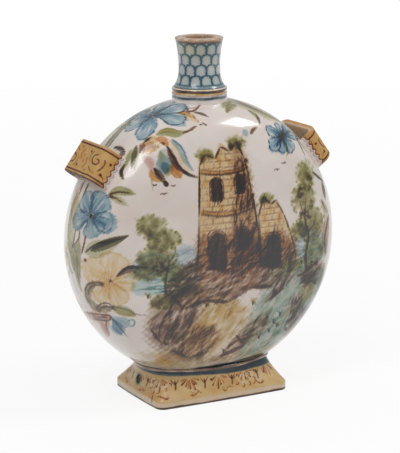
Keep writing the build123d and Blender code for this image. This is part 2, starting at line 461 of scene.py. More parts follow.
def make_neck():
    """The neck: a bored tube with a waist and a flared lip, standing on the body."""
    s = sizes()
    top, base = NECK_HIGH.z, COLLAR_HIGH.z
    low = BODY_CENTRE[2] + BODY_RADIUS - SPIGOT_DROP
    skirt = (NECK_HIGH.x - NECK_LOW.x) / 2
    heights = np.linspace(0, 1, 60)
    waist = s.waist_rise / (top - base)
    flare_low = (skirt - s.neck_waist) * clamp(1 - heights / waist) ** 3.1
    flare_high = (s.neck_lip - s.neck_waist) * clamp((heights - waist) / (1 - waist)) ** 1.7
    side = np.stack((s.neck_waist + flare_low + flare_high, base + heights * (top - base)), 1)
    lip, mouth = s.lip_rounding, 1.6 * mm
    side = side[side[:, 1] < top - lip * 0.9]
    outline = [(s.bore_radius, low), (s.neck_spigot, low), (s.neck_spigot, base), (skirt - 0.5 * mm, base)]
    outline += [(skirt - 0.1 * mm, base + 0.45 * mm), *side[2:]]
    for turn in np.linspace(0.1, pi / 2, 7):
        outline.append((s.neck_lip - lip + lip * cos(turn), top - lip + lip * sin(turn)))
    for turn in np.linspace(0, pi / 2, 6):
        outline.append((s.bore_radius + mouth - mouth * sin(turn), top - mouth + mouth * cos(turn)))
    outline = np.array([*outline, (s.bore_radius, low)])
    outside = spread(outline[2:-1], 0.42 * mm)
    bore = spread(outline[-2:], 2.5 * mm)
    profile = np.concatenate((outline[:2], outside, bore[1:-1]))
    return ring_piece("painted_neck", turned_rows(profile, 288), 40.0)


def make_collar():
    """The ring around the neck's foot, with a rounded top edge and a shallow groove."""
    inner = sizes().neck_spigot
    radius = (COLLAR_HIGH.x - COLLAR_LOW.x) / 2
    top, low = COLLAR_HIGH.z, BODY_CENTRE[2] + BODY_RADIUS - SPIGOT_DROP
    side = spread(fillet_path([(inner, top), (radius, top), (radius, low)], [1.4 * mm], 0.2 * mm), 0.4 * mm)
    side[:, 0] -= 0.55 * mm * bell(side[:, 1] - (top - 3.6 * mm),
        0.75 * mm) * (side[:, 0] > radius - 0.01 * mm)
    return ring_piece("painted_collar", turned_rows(np.concatenate((side, [(inner, low)])), 320), 40.0)


# Foot and bead

FOOT_POINTS = 900
WAIST_BOW_SHARE = 0.1
WAIST_END_SHARE = 0.5
WAIST_CORNER_SHARE = 0.48


def ring_outline(half_width, half_depth, bow, straight, corner, inset, count):
    """Points around a rounded oblong with bowed ends, evenly spaced, starting at the right end."""
    turn = 2 * atan2(bow, straight)
    end_radius = straight / sin(turn)
    arcs = quarter_arcs(half_width - inset, half_depth - inset, end_radius - inset, turn, corner - inset)
    quarter = arc_points(arcs, 0.0, 0.2 * mm)[::-1]
    upper = np.concatenate((quarter, quarter[-2::-1] * (-1, 1)))
    whole = np.concatenate((upper, upper[-2::-1] * (1, -1)))
    lengths = run_lengths(whole)
    targets = np.linspace(0, lengths[-1], count, endpoint=False)
    return np.stack([np.interp(targets, lengths, whole[:, k]) for k in (0, 1)], 1)


def body_section(height):
    """Half the width and half the depth of the body's level section at a height."""
    below = abs(BODY_CENTRE[2] - height)
    profile = body_profile(0.0)
    return sqrt(BODY_RADIUS**2 - below**2), float(np.interp(below, profile[:, 0], profile[:, 1]))


def bead_height():
    return (BEAD_LOW.z + BEAD_HIGH.z) / 2


def foot_ring(height, inset, count):
    """The foot's outline at a height, as points in space."""
    s = sizes()
    up = max(0.0, (height - s.foot_lip) / (bead_height() + s.bead - s.foot_lip))
    spread_share = (1 - up) ** s.flare_power
    width, depth = (reach - s.waist_inset for reach in body_section(bead_height()))
    waist = (width, depth, width * WAIST_BOW_SHARE, depth * WAIST_END_SHARE, depth * WAIST_CORNER_SHARE)
    base = ((FOOT_HIGH.x - FOOT_LOW.x) / 2, (FOOT_HIGH.y - FOOT_LOW.y) / 2, s.foot_bow, s.foot_straight,
        s.foot_corner)
    outline = ring_outline(*(high + (low - high) * spread_share for high, low in zip(waist, base)), inset,
        count)
    return np.concatenate((outline, np.full((count, 1), height)), axis=1)


def make_foot(envelope):
    """The hollow flared foot, with its rounded base edge and its two cord holes."""
    s = sizes()
    edge = 0.9 * mm
    top = bead_height() + 0.6 * mm
    bends = [(edge * (1 - sin(turn)), edge * (1 - cos(turn))) for turn in np.linspace(0, pi / 2, 4)]
    rings = [*bends[::-1]]
    rings += [(height, 0.0) for height in np.linspace(edge, top, int((top - edge) / (0.45 * mm)))]
    rings += [(height, s.foot_wall) for height in np.linspace(top, edge, 8)]
    rings += [(height, s.foot_wall - inset) for height, inset in bends[1:]]
    rows = np.array([foot_ring(height, inset, FOOT_POINTS) for height, inset in rings])
    foot = ring_piece("painted_foot", rows, 45.0)
    reach = FOOT_HIGH.x + 6 * mm
    hole = round_cutter(s.cord_hole, (-reach, 0, s.cord_hole_height), (reach, 0, s.cord_hole_height), 64)
    cut_away(foot, hole, envelope)
    drop(hole)
    return foot


def make_bead():
    """The raised bead around the waist."""
    s = sizes()
    count = 640
    width, depth = (reach + s.bead_overhang for reach in body_section(bead_height()))
    bow, end, corner = width * WAIST_BOW_SHARE, depth * WAIST_END_SHARE, depth * WAIST_CORNER_SHARE
    outline = ring_outline(width, depth, bow, end, corner, 0.0, count)
    ahead = np.roll(outline, -1, axis=0) - np.roll(outline, 1, axis=0)
    out = np.stack((ahead[:, 1], -ahead[:, 0]), 1)
    out /= np.linalg.norm(out, axis=1)[:, None]
    rows = []
    for turn in np.linspace(0, 2 * pi, 28, endpoint=False):
        flat = outline + out * (s.bead * 0.97 * cos(turn))
        lift = np.full((count, 1), bead_height() + s.bead * 0.93 * sin(turn))
        rows.append(np.concatenate((flat, lift), axis=1))
    return ring_piece("painted_waist_bead", np.array(rows), 60.0)


# Strap loops


def loop_axes(side):
    """The directions out of the body and along the rim at one loop."""
    return rim_axes(sizes().loop_angle, side)


def rim_axes(turn, side=1):
    """The directions out of the body and along its rim at an angle."""
    return np.array((side * cos(turn), 0.0, sin(turn))), np.array((-side * sin(turn), 0.0, cos(turn)))


def loop_place(side, reach, depth, lift):
    """A point by its distance out along a loop's middle, its depth and its place along the rim."""
    out, along = loop_axes(side)
    return BODY_CENTRE + out * reach + np.array((0.0, depth, 0.0)) + along * lift


def make_loop(name, side, envelope):
    """A flat strap bent into a bridge over the rim, with rounded edges."""
    s = sizes()
    w, t, e = s.loop_length / 2, s.strap / 2, s.strap_edge
    root, reach = BODY_RADIUS - 2 * s.shoulder_radius, BODY_RADIUS + s.loop_rise - t
    half = s.loop_half_depth - t
    corners = [(root, -half), (reach, -half), (reach, half), (root, half)]
    path = spread(fillet_path(corners, [s.strap_corner - t] * 2, 0.2 * mm), 0.5 * mm)
    ahead = np.gradient(path, axis=0)
    ahead /= np.linalg.norm(ahead, axis=1)[:, None]
    across = np.stack((ahead[:, 1], -ahead[:, 0]), 1)
    box = [(-w + e, t), (w, t), (w, -t), (-w, -t), (-w, t), (-w + e, t)]
    section = spread(fillet_path(box, [e] * 4, 0.15 * mm), 0.46 * mm)[:-1]
    out, along = loop_axes(side)
    rows = []
    for place, normal in zip(path, across):
        flat = place + normal * section[:, 1:]
        worn = 1 - 0.012 * unevenness(np.concatenate((flat, section[:, :1]), axis=1) * 2.2)
        ring = BODY_CENTRE + flat[:, :1] * out + flat[:, 1:] * np.array((0, 1.0, 0))
        rows.append(ring + (section[:, :1] * worn[:, None]) * along)
    loop = capped_piece(name, np.array(rows), 50.0)
    cut_away(loop, envelope)
    return loop


# The brush

DAB_STRETCH = 1.3


class Brush:
    """Lays marks on the points of some pieces. Each point holds an amount of each pigment."""

    def __init__(self, pieces, seed, skin=None, cell=5 * mm):
        self.pieces = pieces
        self.random = np.random.default_rng(seed)
        self.places = np.concatenate([self.read(piece, "co") for piece in pieces])
        self.normals = np.concatenate([self.read(piece, "normal") for piece in pieces])
        self.ink = np.zeros((len(self.places), PIGMENT_COUNT))
        usable = np.arange(len(self.places)) if skin is None else np.flatnonzero(skin(self.places))
        self.low = self.places.min(0) - cell
        self.cell = cell
        cells = ((self.places[usable] - self.low) / cell).astype(int)
        self.span = cells.max(0) + 2
        keys = (cells[:, 0] * self.span[1] + cells[:, 1]) * self.span[2] + cells[:, 2]
        order = np.argsort(keys, kind="stable")
        self.keys = keys[order]
        self.sorted = usable[order]
        self.tree = kdtree.KDTree(len(usable))
        for index in usable:
            self.tree.insert(self.places[index], int(index))
        self.tree.balance()

    @staticmethod
    def read(piece, name):
        """The places or the normals of a piece's points."""
        flat = np.empty(len(piece.data.vertices) * 3, np.float32)
        piece.data.vertices.foreach_get(name, flat)
        return flat.reshape(-1, 3).astype(float)

    def near(self, low, high):
        """The points inside a box."""
        first = np.maximum(((low - self.low) / self.cell).astype(int), 0)
        last = np.minimum(((high - self.low) / self.cell).astype(int), self.span - 1)
        found = [np.zeros(0, int)]
        for x in range(first[0], last[0] + 1):
            for y in range(first[1], last[1] + 1):
                key = (x * self.span[1] + y) * self.span[2]
                start = np.searchsorted(self.keys, key + first[2])
                end = np.searchsorted(self.keys, key + last[2], side="right")
                found.append(self.sorted[start:end])
        found = np.concatenate(found)
        places = self.places[found]
        return found[np.all((places >= low) & (places <= high), axis=1)]

    def settle(self, path):
        """Bring points near the surface down onto it."""
        settled = []
        for point in path:
            place, index, _ = self.tree.find(point)
            normal = self.normals[index]
            settled.append(point - normal * float((point - np.array(place)) @ normal))
        return np.array(settled)

    def lay(self, found, amount, load):
        """Add a load's pigments by an amount at each point, or with no load lift what is there."""
        if load is LIFT:
            self.ink[found] *= (1 - clamp(amount))[:, None]
            return
        for pigment, part in load.items():
            self.ink[found, pigment] += np.maximum(amount, 0) * part

    def stroke(self, path, width, load, strength=1.0, shape="line", soft=0.55 * mm, edge=0.25, streak=0.22):
        """One brush mark along a path: its width swells and fades by its shape."""
        path = self.settle(smooth_path(np.asarray(path, float), 1.6 * mm))
        if len(path) < 2:
            return
        margin = width / 2 + soft
        found = self.near(path.min(0) - margin, path.max(0) + margin)
        if not len(found):
            return
        places = self.places[found]
        starts, runs = path[:-1], np.diff(path, axis=0)
        squares = np.maximum((runs**2).sum(1), 1e-14)
        away = places[:, None] - starts[None]
        along = clamp((away * runs[None]).sum(2) / squares)
        gaps = ((away - along[..., None] * runs[None]) ** 2).sum(2)
        nearest = gaps.argmin(1)
        row = np.arange(len(found))
        gap = np.sqrt(gaps[row, nearest])
        steps = np.sqrt(squares)
        passed = np.concatenate(([0.0], np.cumsum(steps)))
        reach = (passed[nearest] + along[row, nearest] * steps[nearest]) / steps.sum()
        half = width / 2 * SHAPES[shape](reach)
        cover = clamp((half - gap) / soft + 0.5)
        cover = cover * cover * (3 - 2 * cover)
        inside = cover > 0
        if not inside.any():
            return
        found, gap, half, cover, reach, nearest = (v[inside]
            for v in (found, gap, half, cover, reach, nearest))
        side = np.einsum("ij,ij->i", np.cross(self.normals[found], runs[nearest]),
            places[inside] - starts[nearest])
        across = np.where(half > 0, gap / np.maximum(half, 1e-9), 0) * np.sign(side)
        a, b, c = self.random.uniform(0, 6.28, 3)
        waves = np.sin(across * 6.5 + a) * 0.6 + np.sin(across * 13 + b + reach * 2) * 0.4
        amount = strength * cover * (1 + edge * clamp(np.abs(across)) ** 3)
        amount *= 1 - streak * (0.5 + 0.5 * waves) - 0.12 * np.sin(reach * 4 + c)
        self.lay(found, amount, load)

    def dab(self, place, width, load, strength=1.0, soft=0.6 * mm):
        """A short touch of the brush, in any direction."""
        turn = self.random.uniform(0, pi)
        place = np.asarray(place, float)
        right, up = tangents(self.normals[self.tree.find(place)[1]])
        run = (right * cos(turn) + up * sin(turn)) * width * (DAB_STRETCH - 1) / 2
        self.stroke([place - run, place + run], width, load, strength, "dab", soft)

    def wash(self, values, load):
        """Add amounts worked out for every point at once."""
        for pigment, part in load.items():
            self.ink[:, pigment] += values * part

    def dry(self):
        """Write the pigments to the pieces as two point attributes."""
        ink = np.clip(self.ink, 0, 3.0).astype(np.float32)
        for piece in self.pieces:
            part, ink = np.split(ink, [len(piece.data.vertices)])
            for name, first in (("pigment_a", 0), ("pigment_b", 4)):
                attribute = piece.data.attributes.new(name, "FLOAT_COLOR", "POINT")
                attribute.data.foreach_set("color", np.ascontiguousarray(part[:, first : first + 4]).ravel())


SHAPES = {
    "line": lambda t: clamp(np.minimum(t, 1 - t) * 9 + 0.35),
    "leaf": lambda t: np.sin(pi * clamp(t) ** 0.85) ** 0.8,
    "petal": lambda t: np.sin(pi * clamp(t) ** 1.7 * 0.97 + 0.03) ** 0.7,
    "tail": lambda t: clamp(1 - t) ** 0.7 * clamp(t * 8 + 0.4),
    "grow": lambda t: clamp(t) ** 0.7 * clamp((1 - t) * 8 + 0.4),
    "dab": np.ones_like,
}


def smooth_path(points, step):
    """Points along a smooth curve through some points."""
    if len(points) < 3:
        count = max(2, int(np.linalg.norm(points[-1] - points[0]) / step) + 1)
        return points[0] + (points[-1] - points[0]) * np.linspace(0, 1, count)[:, None]
    ends = np.concatenate(([2 * points[0] - points[1]], points, [2 * points[-1] - points[-2]]))
    runs = []
    for k in range(1, len(ends) - 2):
        a, b, c, d = ends[k - 1 : k + 3]
        count = max(2, int(np.linalg.norm(c - b) / step) + 1)
        t = np.linspace(0, 1, count, endpoint=False)[:, None]
        level = 2 * b + (c - a) * t
        bow = (2 * a - 5 * b + 4 * c - d) * t**2
        runs.append(0.5 * (level + bow + (3 * b - a - 3 * c + d) * t**3))
    return np.concatenate(runs + [points[-1:]])


def tangents(normal):
    """The directions to the right and up on a surface, as one who faces it sees them."""
    up = np.array((0, 0, 1.0)) - normal * normal[2]
    if np.linalg.norm(up) < 0.05:
        up = np.array((0, 1.0, 0)) - normal * normal[1]
    up /= np.linalg.norm(up)
    return np.cross(up, normal), up


class Spot:
    """A place on a surface with its own flat axes, in millimetres, to draw a motif in."""

    def __init__(self, brush, place, turn=0.0):
        self.brush = brush
        self.place = np.asarray(place, float)
        self.normal = brush.normals[brush.tree.find(self.place)[1]]
        right, up = tangents(self.normal)
        c, s = polar(radians(turn))
        self.right, self.up = right * c + up * s, up * c - right * s

    def at(self, x, y):
        """The point in space at flat coordinates."""
        return self.place + self.right * x * mm + self.up * y * mm

    def flat(self, places):
        """The flat coordinates of points in space."""
        away = (np.asarray(places) - self.place) / mm
        return np.stack((away @ self.right, away @ self.up), -1)

    def moved(self, x, y, turn=0.0):
        """Another spot on the same surface, by its flat coordinates on this one."""
        return Spot(self.brush, self.brush.settle([self.at(x, y)])[0], turn)

    def stray(self, value, by):
        """A value that the hand misses by a little."""
        return value + self.brush.random.normal(0.0, by / 2)

    def stroke(self, points, width, load, strength=1.0, shape="line", **more):
        self.brush.stroke([self.at(x, y) for x, y in points], width * mm, load, strength, shape, **more)

    def dab(self, x, y, width, load, strength=1.0, **more):
        self.brush.dab(self.at(x, y), width * mm, load, strength, **more)

    def patch(self, outline, load, strength=1.0, soft=1.2, streak=0.3, ragged=0.5):
        """A wash inside a smooth closed curve, uneven and a little darker where it dried at its edge."""
        outline = np.array(outline, float)
        closed = smooth_path(np.concatenate((outline, outline[:1])), 3.0)[:-1]
        low, high = closed.min(0), closed.max(0)
        corners = np.array([self.at(x, y) for x in (low[0], high[0]) for y in (low[1], high[1])])
        reach = np.abs(closed).max() + soft + 12
        margin = np.abs(self.normal) * (0.45 * reach * mm) + soft * mm
        found = self.brush.near(corners.min(0) - margin, corners.max(0) + margin)
        found = found[self.brush.normals[found] @ self.normal > 0.1]
        flat = self.flat(self.brush.places[found])
        near_box = np.all((flat > low - soft) & (flat < high + soft), axis=1)
        found, flat = found[near_box], flat[near_box]
        if not len(found):
            return
        gap = outline_gap(flat, closed)
        a, b, c = self.brush.random.uniform(0, 6.28, 3)
        x, y = flat.T
        grain = np.sin(x * 0.5 + a + 1.8 * np.sin(y * 0.21 + b)) * 0.5 + np.sin(y * 0.6 + c + x * 0.17) * 0.3
        grain += np.sin(x * 1.7 - y * 0.9 + a) * 0.2
        gap = gap + ragged * (np.sin(x * 0.9 + c) * np.sin(y * 1.1 + a) + 0.6 * np.sin(x * 2.1 - y * 1.7 + b))
        amount = strength * clamp(0.5 - gap / soft)
        amount = amount * (1 - streak * (0.5 + 0.5 * grain) + 0.22 * bell(gap, 1))
        self.brush.lay(found, amount, load)

    def clip_stroke(self, outline, start, end, width, load, strength):
        """The stretches of a straight line that lie inside a closed outline, as strokes."""
        start, end = np.array(start, float), np.array(end, float)
        count = max(3, int(np.linalg.norm(end - start)) + 1)
        points = start + (end - start) * np.linspace(0, 1, count)[:, None]
        inside = outline_gap(points, np.array(outline, float)) < -0.3
        first = None
        for k, held in enumerate([*inside, False]):
            if held and first is None:
                first = k
            if not held and first is not None:
                if k - first > 1:
                    self.stroke([points[first], points[k - 1]], width, load, strength, "leaf")
                first = None

    def scumble(self, outline, load, count, long, width, turn, strength=0.6, spread=14):
        """Short, slightly bowed strokes scattered inside a closed outline, in about one direction."""
        outline = np.array(outline, float)
        random = self.brush.random
        places = random.uniform(outline.min(0), outline.max(0), (count * 5, 2))
        for place in places[outline_gap(places, outline) < -0.4][:count]:
            lean = radians(turn + random.normal(0.0, spread))
            run = np.array(polar(lean)) * long * random.uniform(0.25, 0.62)
            bow = place + np.array((-run[1], run[0])) * random.normal(0.0, 0.16)
            wide, strong = width * random.uniform(0.55, 1.4), strength * random.uniform(0.45, 1.3)
            self.stroke([place - run, bow, place + run], wide, load, strong, "leaf")


def outline_gap(points, outline):
    """The distance of flat points from a closed outline, negative inside it."""
    runs = np.roll(outline, -1, axis=0) - outline
    squares = np.maximum((runs**2).sum(1), 1e-9)
    best = np.full(len(points), np.inf)
    inside = np.zeros(len(points), bool)
    x, y = points.T
    for (sx, sy), (rx, ry), square in zip(outline, runs, squares):
        along = clamp(((x - sx) * rx + (y - sy) * ry) / square)
        best = np.minimum(best, np.hypot(x - sx - along * rx, y - sy - along * ry))
        if ry != 0:
            inside ^= ((sy > y) != (sy + ry > y)) & (x < rx * (y - sy) / ry + sx)
    return np.where(inside, -best, best)


# The camera's stand, which also finds the place on the body that a point of the picture shows


def camera_axes():
    """The camera's place, and its directions to the right, up and back."""
    view = studio()
    level, height = polar(view.elevation)
    back = np.array((sin(view.azimuth) * level, -cos(view.azimuth) * level, height))
    right = np.cross(-back, (0, 0, 1.0))
    right /= np.linalg.norm(right)
    up = np.cross(right, -back)
    c, s = polar(view.roll)
    place = np.array((0, 0, view.aim_height)) + back * view.distance
    return place, c * right - s * up, s * right + c * up, back


def pin(x, y):
    """The place on the body's skin behind a point of the picture, given in pixels."""
    view = studio()
    place, right, up, back = camera_axes()
    across = (x - IMAGE_WIDTH / 2 + view.shift_x_pixels) / view.focal_pixels
    rise = -(y - IMAGE_HEIGHT / 2 - view.shift_y_pixels) / view.focal_pixels
    ray = right * across + up * rise - back
    profile = body_profile(0.0, 0.5 * mm)

    def outside(distance):
        point = place + ray * distance - BODY_CENTRE
        return abs(point[1]) - np.interp(hypot(point[0], point[2]), profile[:, 0], profile[:, 1], right=-0.2)

    steps = np.linspace(view.distance - 0.2, view.distance + 0.2, 401)
    signs = np.array([outside(step) for step in steps])
    low = int(np.argmax(signs < 0) if (signs < 0).any() else np.argmin(signs))
    near, far = steps[max(0, low - 1)], steps[low]
    for _ in range(24):
        middle = (near + far) / 2
        if outside(middle) > 0:
            near = middle
        else:
            far = middle
    return place + ray * far


# The painting: what a full brush carries of each pigment

SKY = {COBALT: 0.42}
BLUE = {COBALT: 0.85}
NAVY = {COBALT: 1.25, MANGANESE: 0.3}
SLATE = {COBALT: 0.6, MANGANESE: 0.16}
TEAL = {TURQUOISE: 0.7}
PETROL = {TURQUOISE: 1, MANGANESE: 0.3}
SAGE = {COPPER: 0.42}
GREEN = {COPPER: 0.85}
MOSS = {COPPER: 1, MANGANESE: 0.42}
YELLOW = {ANTIMONY: 0.85}
STRAW = {ANTIMONY: 0.42}
OCHRE = {ANTIMONY: 0.75, IRON: 0.3}
ORANGE = {ANTIMONY: 0.35, IRON: 0.75}
RUST = {IRON: 0.8, MANGANESE: 0.35}
BROWN = {IRON: 0.35, MANGANESE: 0.6}
DARK = {MANGANESE: 1.15}
SMOKE = {MANGANESE: 0.5, COPPER: 0.15}
ROSE = {PINK: 0.9}
STONE = {COPPER: 0.2, PINK: 0.35, ANTIMONY: 0.2}


# Motifs, each drawn on a spot's own axes in millimetres

PETAL_SHARES = pairs(0.06, 0.05, 0.36, 0.3, 0.72, 0.5, 0.97, 0.3, 1.04, 0, 0.96, -0.32, 0.7, -0.5, 0.34,
    -0.28)


def petal(spot, x, y, turn, long, wide, load, line, fine=True):
    """A broad petal that starts at a point: a streaked wash, a broken wavy outline and veins."""
    c, s = polar(turn)
    random = spot.brush.random.uniform

    def place(u, v):
        return x + c * u * long - s * v * wide, y + s * u * long + c * v * wide

    outline = [place(u * random(0.92, 1.06), v * random(0.85, 1.15)) for u, v in PETAL_SHARES]
    spot.patch(outline, load, random(0.52, 0.72), streak=0.6, ragged=0.8)
    for k in range(9 if fine else 3):
        v = random(-0.36, 0.36)
        path = [place(random(0.05, 0.3), v * 0.4), place(0.55, v), place(random(0.75, 0.98), v * 1.2)]
        spot.stroke(path, random(1, 2.4), load, random(0.08, 0.34), "leaf")
    edge = np.array([place(0, 0), *outline, place(0, 0)])
    for first, last in zip(edge[:-1], edge[1:]):
        middle = (first + last) / 2
        bump = middle + (middle - place(0.5, 0)) * 0.1
        spot.stroke([first, bump, last], random(0.7, 1.2), line, random(0.4, 1), "leaf")
    for v in (-0.3, -0.14, 0, 0.16, 0.3) if fine else (-0.2, 0.15):
        vein = [place(0.08, 0), place(0.35, v * 0.8), place(random(0.45, 0.85), v * 1.3)]
        spot.stroke(vein, 0.7, line, random(0.35, 0.8), "tail")
    for v in (random(-0.34, -0.1), random(0.08, 0.34)) if fine else ():
        spot.stroke([place(0.45, v), place(0.92, v * 1.25)], random(1.2, 2.4), LIFT, 0.6, "leaf")


def blossom(spot, reach, count, load, line, heart=DARK, start=90):
    """An open flower of broad petals around a small dark heart."""
    for k in range(count):
        turn = radians(start + 360 * k / count) + spot.stray(0, 0.12)
        long = reach * spot.stray(1, 0.1)
        petal(spot, 0, 0, turn, long, long * 0.78, load, line, reach > 15)
    for k in range(count):
        turn = radians(start + 360 * (k + 0.5) / count)
        spot.stroke([(0, 0), polar(turn, reach * 0.3)], reach * 0.1, heart, 0.8, "tail")
    spot.dab(0, 0, reach * 0.16, heart, 1)


def leaf(spot, points, width, load, rib, rib_width=0.9):
    """A long leaf: a full stroke, a darker back edge and a rib that runs out at the tip."""
    spot.stroke(points, width, load, 0.95, "leaf", edge=0.5)
    spot.stroke(points, width * 0.32, rib, 0.75, "tail")
    shifted = [(x, y - width * 0.34) for x, y in points[1:-1]]
    spot.stroke([points[0], *shifted, points[-1]], rib_width, rib, 0.7)


def spiral(x, y, size, start, turns, hand=1, steps=14):
    """Points of a scroll that winds in to a point."""
    points = []
    for k in range(steps + 1):
        share_in = k / steps
        turn = radians(start) + hand * turns * 2 * pi * share_in
        reach = size * (1 - share_in) ** 0.8 + 0.12 * size
        points.append((x + reach * cos(turn), y + reach * sin(turn)))
    return points


TULIP_SHARES = (
    # left, right and middle petal
    pairs(0, 0, -0.5, 0.35, -0.62, 1, -0.2, 0.7),
    pairs(0, 0, 0.5, 0.35, 0.66, 1, 0.2, 0.7),
    pairs(0, 0.1, -0.26, 0.6, 0, 1.08, 0.26, 0.6),
)

def tulip(spot, reach, petals, line, core):
    """A bell flower in side view: three petals and two dark strokes between them."""
    for petal_shares, load in zip(TULIP_SHARES, petals):
        spot.patch([(x * reach, y * reach) for x, y in petal_shares], load)
    for hand in (-1, 1):
        path = [(0, 0.05 * reach), (hand * 0.3 * reach, 0.5 * reach), (hand * 0.42 * reach, 1.05 * reach)]
        spot.stroke(path, reach * 0.12, core, 0.9, "leaf")
        outer = [(0, 0), (hand * 0.52 * reach, 0.36 * reach), (hand * 0.68 * reach, 1.02 * reach)]
        spot.stroke(outer, 0.9, line, 0.8)


def bush(spot, x, y, wide, high, load, dark, count=60):
    """Leafy foliage: a lobed wash, soft touches that darken below, and small leaves at its edge."""
    random = spot.brush.random.uniform

    def place(u, v):
        return x + u * wide / 2, y + v * high / 2

    lobes = []
    for k in range(22):
        turn, reach = pi * k / 11, (1 if k % 2 else 0.8) * random(0.9, 1.08)
        lobes.append((x + cos(turn) * wide / 2 * reach, y + sin(turn) * high / 2 * reach))
    spot.patch(lobes, load, 0.9, soft=2.4, streak=0.5, ragged=1.2)
    for k in range(count):
        turn, reach = random(0, 2 * pi), sqrt(random(0, 1))
        u, v = polar(turn, reach)
        size = random(3.2, 6.4) * (1.15 - 0.4 * reach)
        spot.dab(*place(u, v), size, load, random(0.06, 0.3), soft=2 * mm)
        if v < 0.1 and random() < 0.5:
            spot.dab(*place(u, v), size * 0.8, dark, random(0.08, 0.3), soft=1.8 * mm)
    for k in range(count // 2):
        u, v = polar(random(0, 2 * pi))
        edge_x, edge_y = place(u, v)
        tip = (edge_x + u * random(1, 2.6), edge_y + v * 1.4 + random(-0.6, 1))
        spot.stroke([(edge_x - u, edge_y - v), tip], random(1, 1.9), load, random(0.5, 1), "leaf")


def tuft(spot, x, y, size, load, count=5):
    """A tuft of grass."""
    for k in range(count):
        lean = (k - (count - 1) / 2) / count * 1.5
        tip = (x + size * lean * spot.stray(1, 0.2), y + size * spot.stray(0.85, 0.2))
        spot.stroke([(x, y), (x + size * lean * 0.35, y + size * 0.5), tip], 0.9, load, 0.85, "tail")


def bird(spot, x, y, span):
    """A far bird: two short wings."""
    for hand in (-1, 1):
        wing = [(x, y), (x + hand * span * 0.25, y + span * 0.16), (x + hand * span * 0.5, y + span * 0.02)]
        spot.stroke(wing, 0.8, DARK, 0.75, "tail")


def crag(spot, outline, wash, shade, turn, count=60, dark=0.7):
    """A rocky mass: a ragged wash, many slanting strokes, and dark ledges on its lower side."""
    spot.patch(outline, wash, 0.9, soft=5, streak=0.7, ragged=2.4)
    spot.scumble(outline, shade, count // 2, 15, 3.6, turn, 0.3)
    spot.scumble(outline, shade, count // 3, 12, 1.7, turn, 0.45)
    spot.scumble(outline, DARK, count // 6, 10, 1.6, turn + 6, dark * 0.6)
    spot.scumble(outline, LIFT, count // 3, 13, 2.2, turn, 0.42)
    middle = np.mean(outline, axis=0)
    low = [p for p in outline if p[1] < middle[1] + 2]
    for first, second in zip(low[:-1], low[1:]):
        spot.stroke([first, second], spot.stray(2.6, 1.2), DARK, spot.stray(0.55, 0.3), "leaf")


def stone_wall(spot, outline, wash, shade):
    """Old masonry: a wash, courses of stones and the upright joints between them."""
    spot.patch(outline, wash, 1)
    low, high = np.min(outline, axis=0), np.max(outline, axis=0)
    height, row = low[1] + 4.5, 0
    while height < high[1] - 2:
        spot.clip_stroke(outline, (low[0], height), (high[0], height + spot.stray(0, 0.7)), 0.7, shade, 0.45)
        place = low[0] + (row % 2) * 4 + 2
        while place < high[0]:
            spot.clip_stroke(outline, (place, height), (place + 0.3, height + 4.4), 0.7, shade, 0.35)
            place += spot.stray(8, 2)
        height += spot.stray(5, 0.7)
        row += 1


def arch_path(x, y, wide, high, steps=9):
    """Points of a round-headed opening, from its left foot to its right foot."""
    half = wide / 2
    points = [(x - half, y), (x - half, y + high - half)]
    for k in range(1, steps):
        turn = pi * (1 - k / steps)
        points.append((x + half * cos(turn), y + high - half + half * sin(turn)))
    return [*points, (x + half, y + high - half), (x + half, y)]


def opening(spot, x, y, wide, high, deep=DARK):
    """A dark round-headed opening in a wall, lit at one jamb."""
    outline = arch_path(x, y, wide, high)
    spot.patch(outline, deep, 0.75, soft=0.9)
    spot.scumble(outline, deep, 14, high * 0.7, 1, 82, 0.7, 4)
    spot.stroke(arch_path(x, y, wide + 2.4, high + 1.4), 0.9, BROWN, 0.8)
    spot.stroke([(x + wide / 2 - 0.8, y + 0.5), (x + wide / 2 - 0.8, y + high - wide / 2)], 1.3, OCHRE, 0.4)


# The front: an old tower on a crag among trees, beside a lake

TOWER = pairs(-33, -14, -31, 30, -28, 72, -22, 82, -13, 77, -7, 87, 1, 82, 8, 90, 14, 76, 19, 46, 23, 14,
    27, -16)
TOWER_SHADE = pairs(-2, -16, 1, 30, 4, 80, 14, 76, 19, 46, 23, 14, 27, -16)
TOWER_FOOT = pairs(-33, -16, -32, 14, -16, 8, 2, 16, 24, 10, 28, -17)
BROKEN_WALL = pairs(25, -16, 24, 26, 30, 41, 37, 34, 42, 37, 50, 24, 57, 6, 62, -8, 63, -19)
WALL_FOOT = pairs(26, -17, 26, 4, 42, 10, 60, -2, 63, -20)
FAR_HILLS = pairs(-92, -14, -84, 0, -70, 6, -58, 0, -46, 9, -33, 3, -33, -17, -66, -19)
FAR_HILLS_RIGHT = pairs(58, -6, 66, 4, 76, 9, 86, 4, 96, -2, 96, -20, 74, -20)
LAKE = pairs(-88, -19, -62, -17, -32, -19, -38, -28, -60, -31, -84, -29)
RIGHT_SLOPE = pairs(34, -14, 64, -12, 90, -26, 98, -44, 84, -66, 56, -86, 34, -98, 14, -100, 14, -70, 28, -40)
LEFT_SLOPE = pairs(-70, -34, -52, -28, -30, -30, -30, -60, -44, -84, -58, -82, -74, -58)
LIT_BANK = pairs(-24, -40, 2, -44, 18, -56, 6, -74, -20, -90, -42, -88, -42, -68, -30, -52)
LOW_BANK = pairs(-74, -84, -44, -82, -14, -92, 18, -94, 48, -90, 40, -100, 10, -106, -30, -104, -60, -98)
REED = {TURQUOISE: 0.2, COPPER: 0.16, COBALT: 0.06, PINK: 0.08}
OLIVE = {COPPER: 0.5, ANTIMONY: 0.08}
IVY = {COPPER: 0.7, MANGANESE: 0.12, IRON: 0.34}
UMBER = {MANGANESE: 0.5, IRON: 0.16, PINK: 0.2}
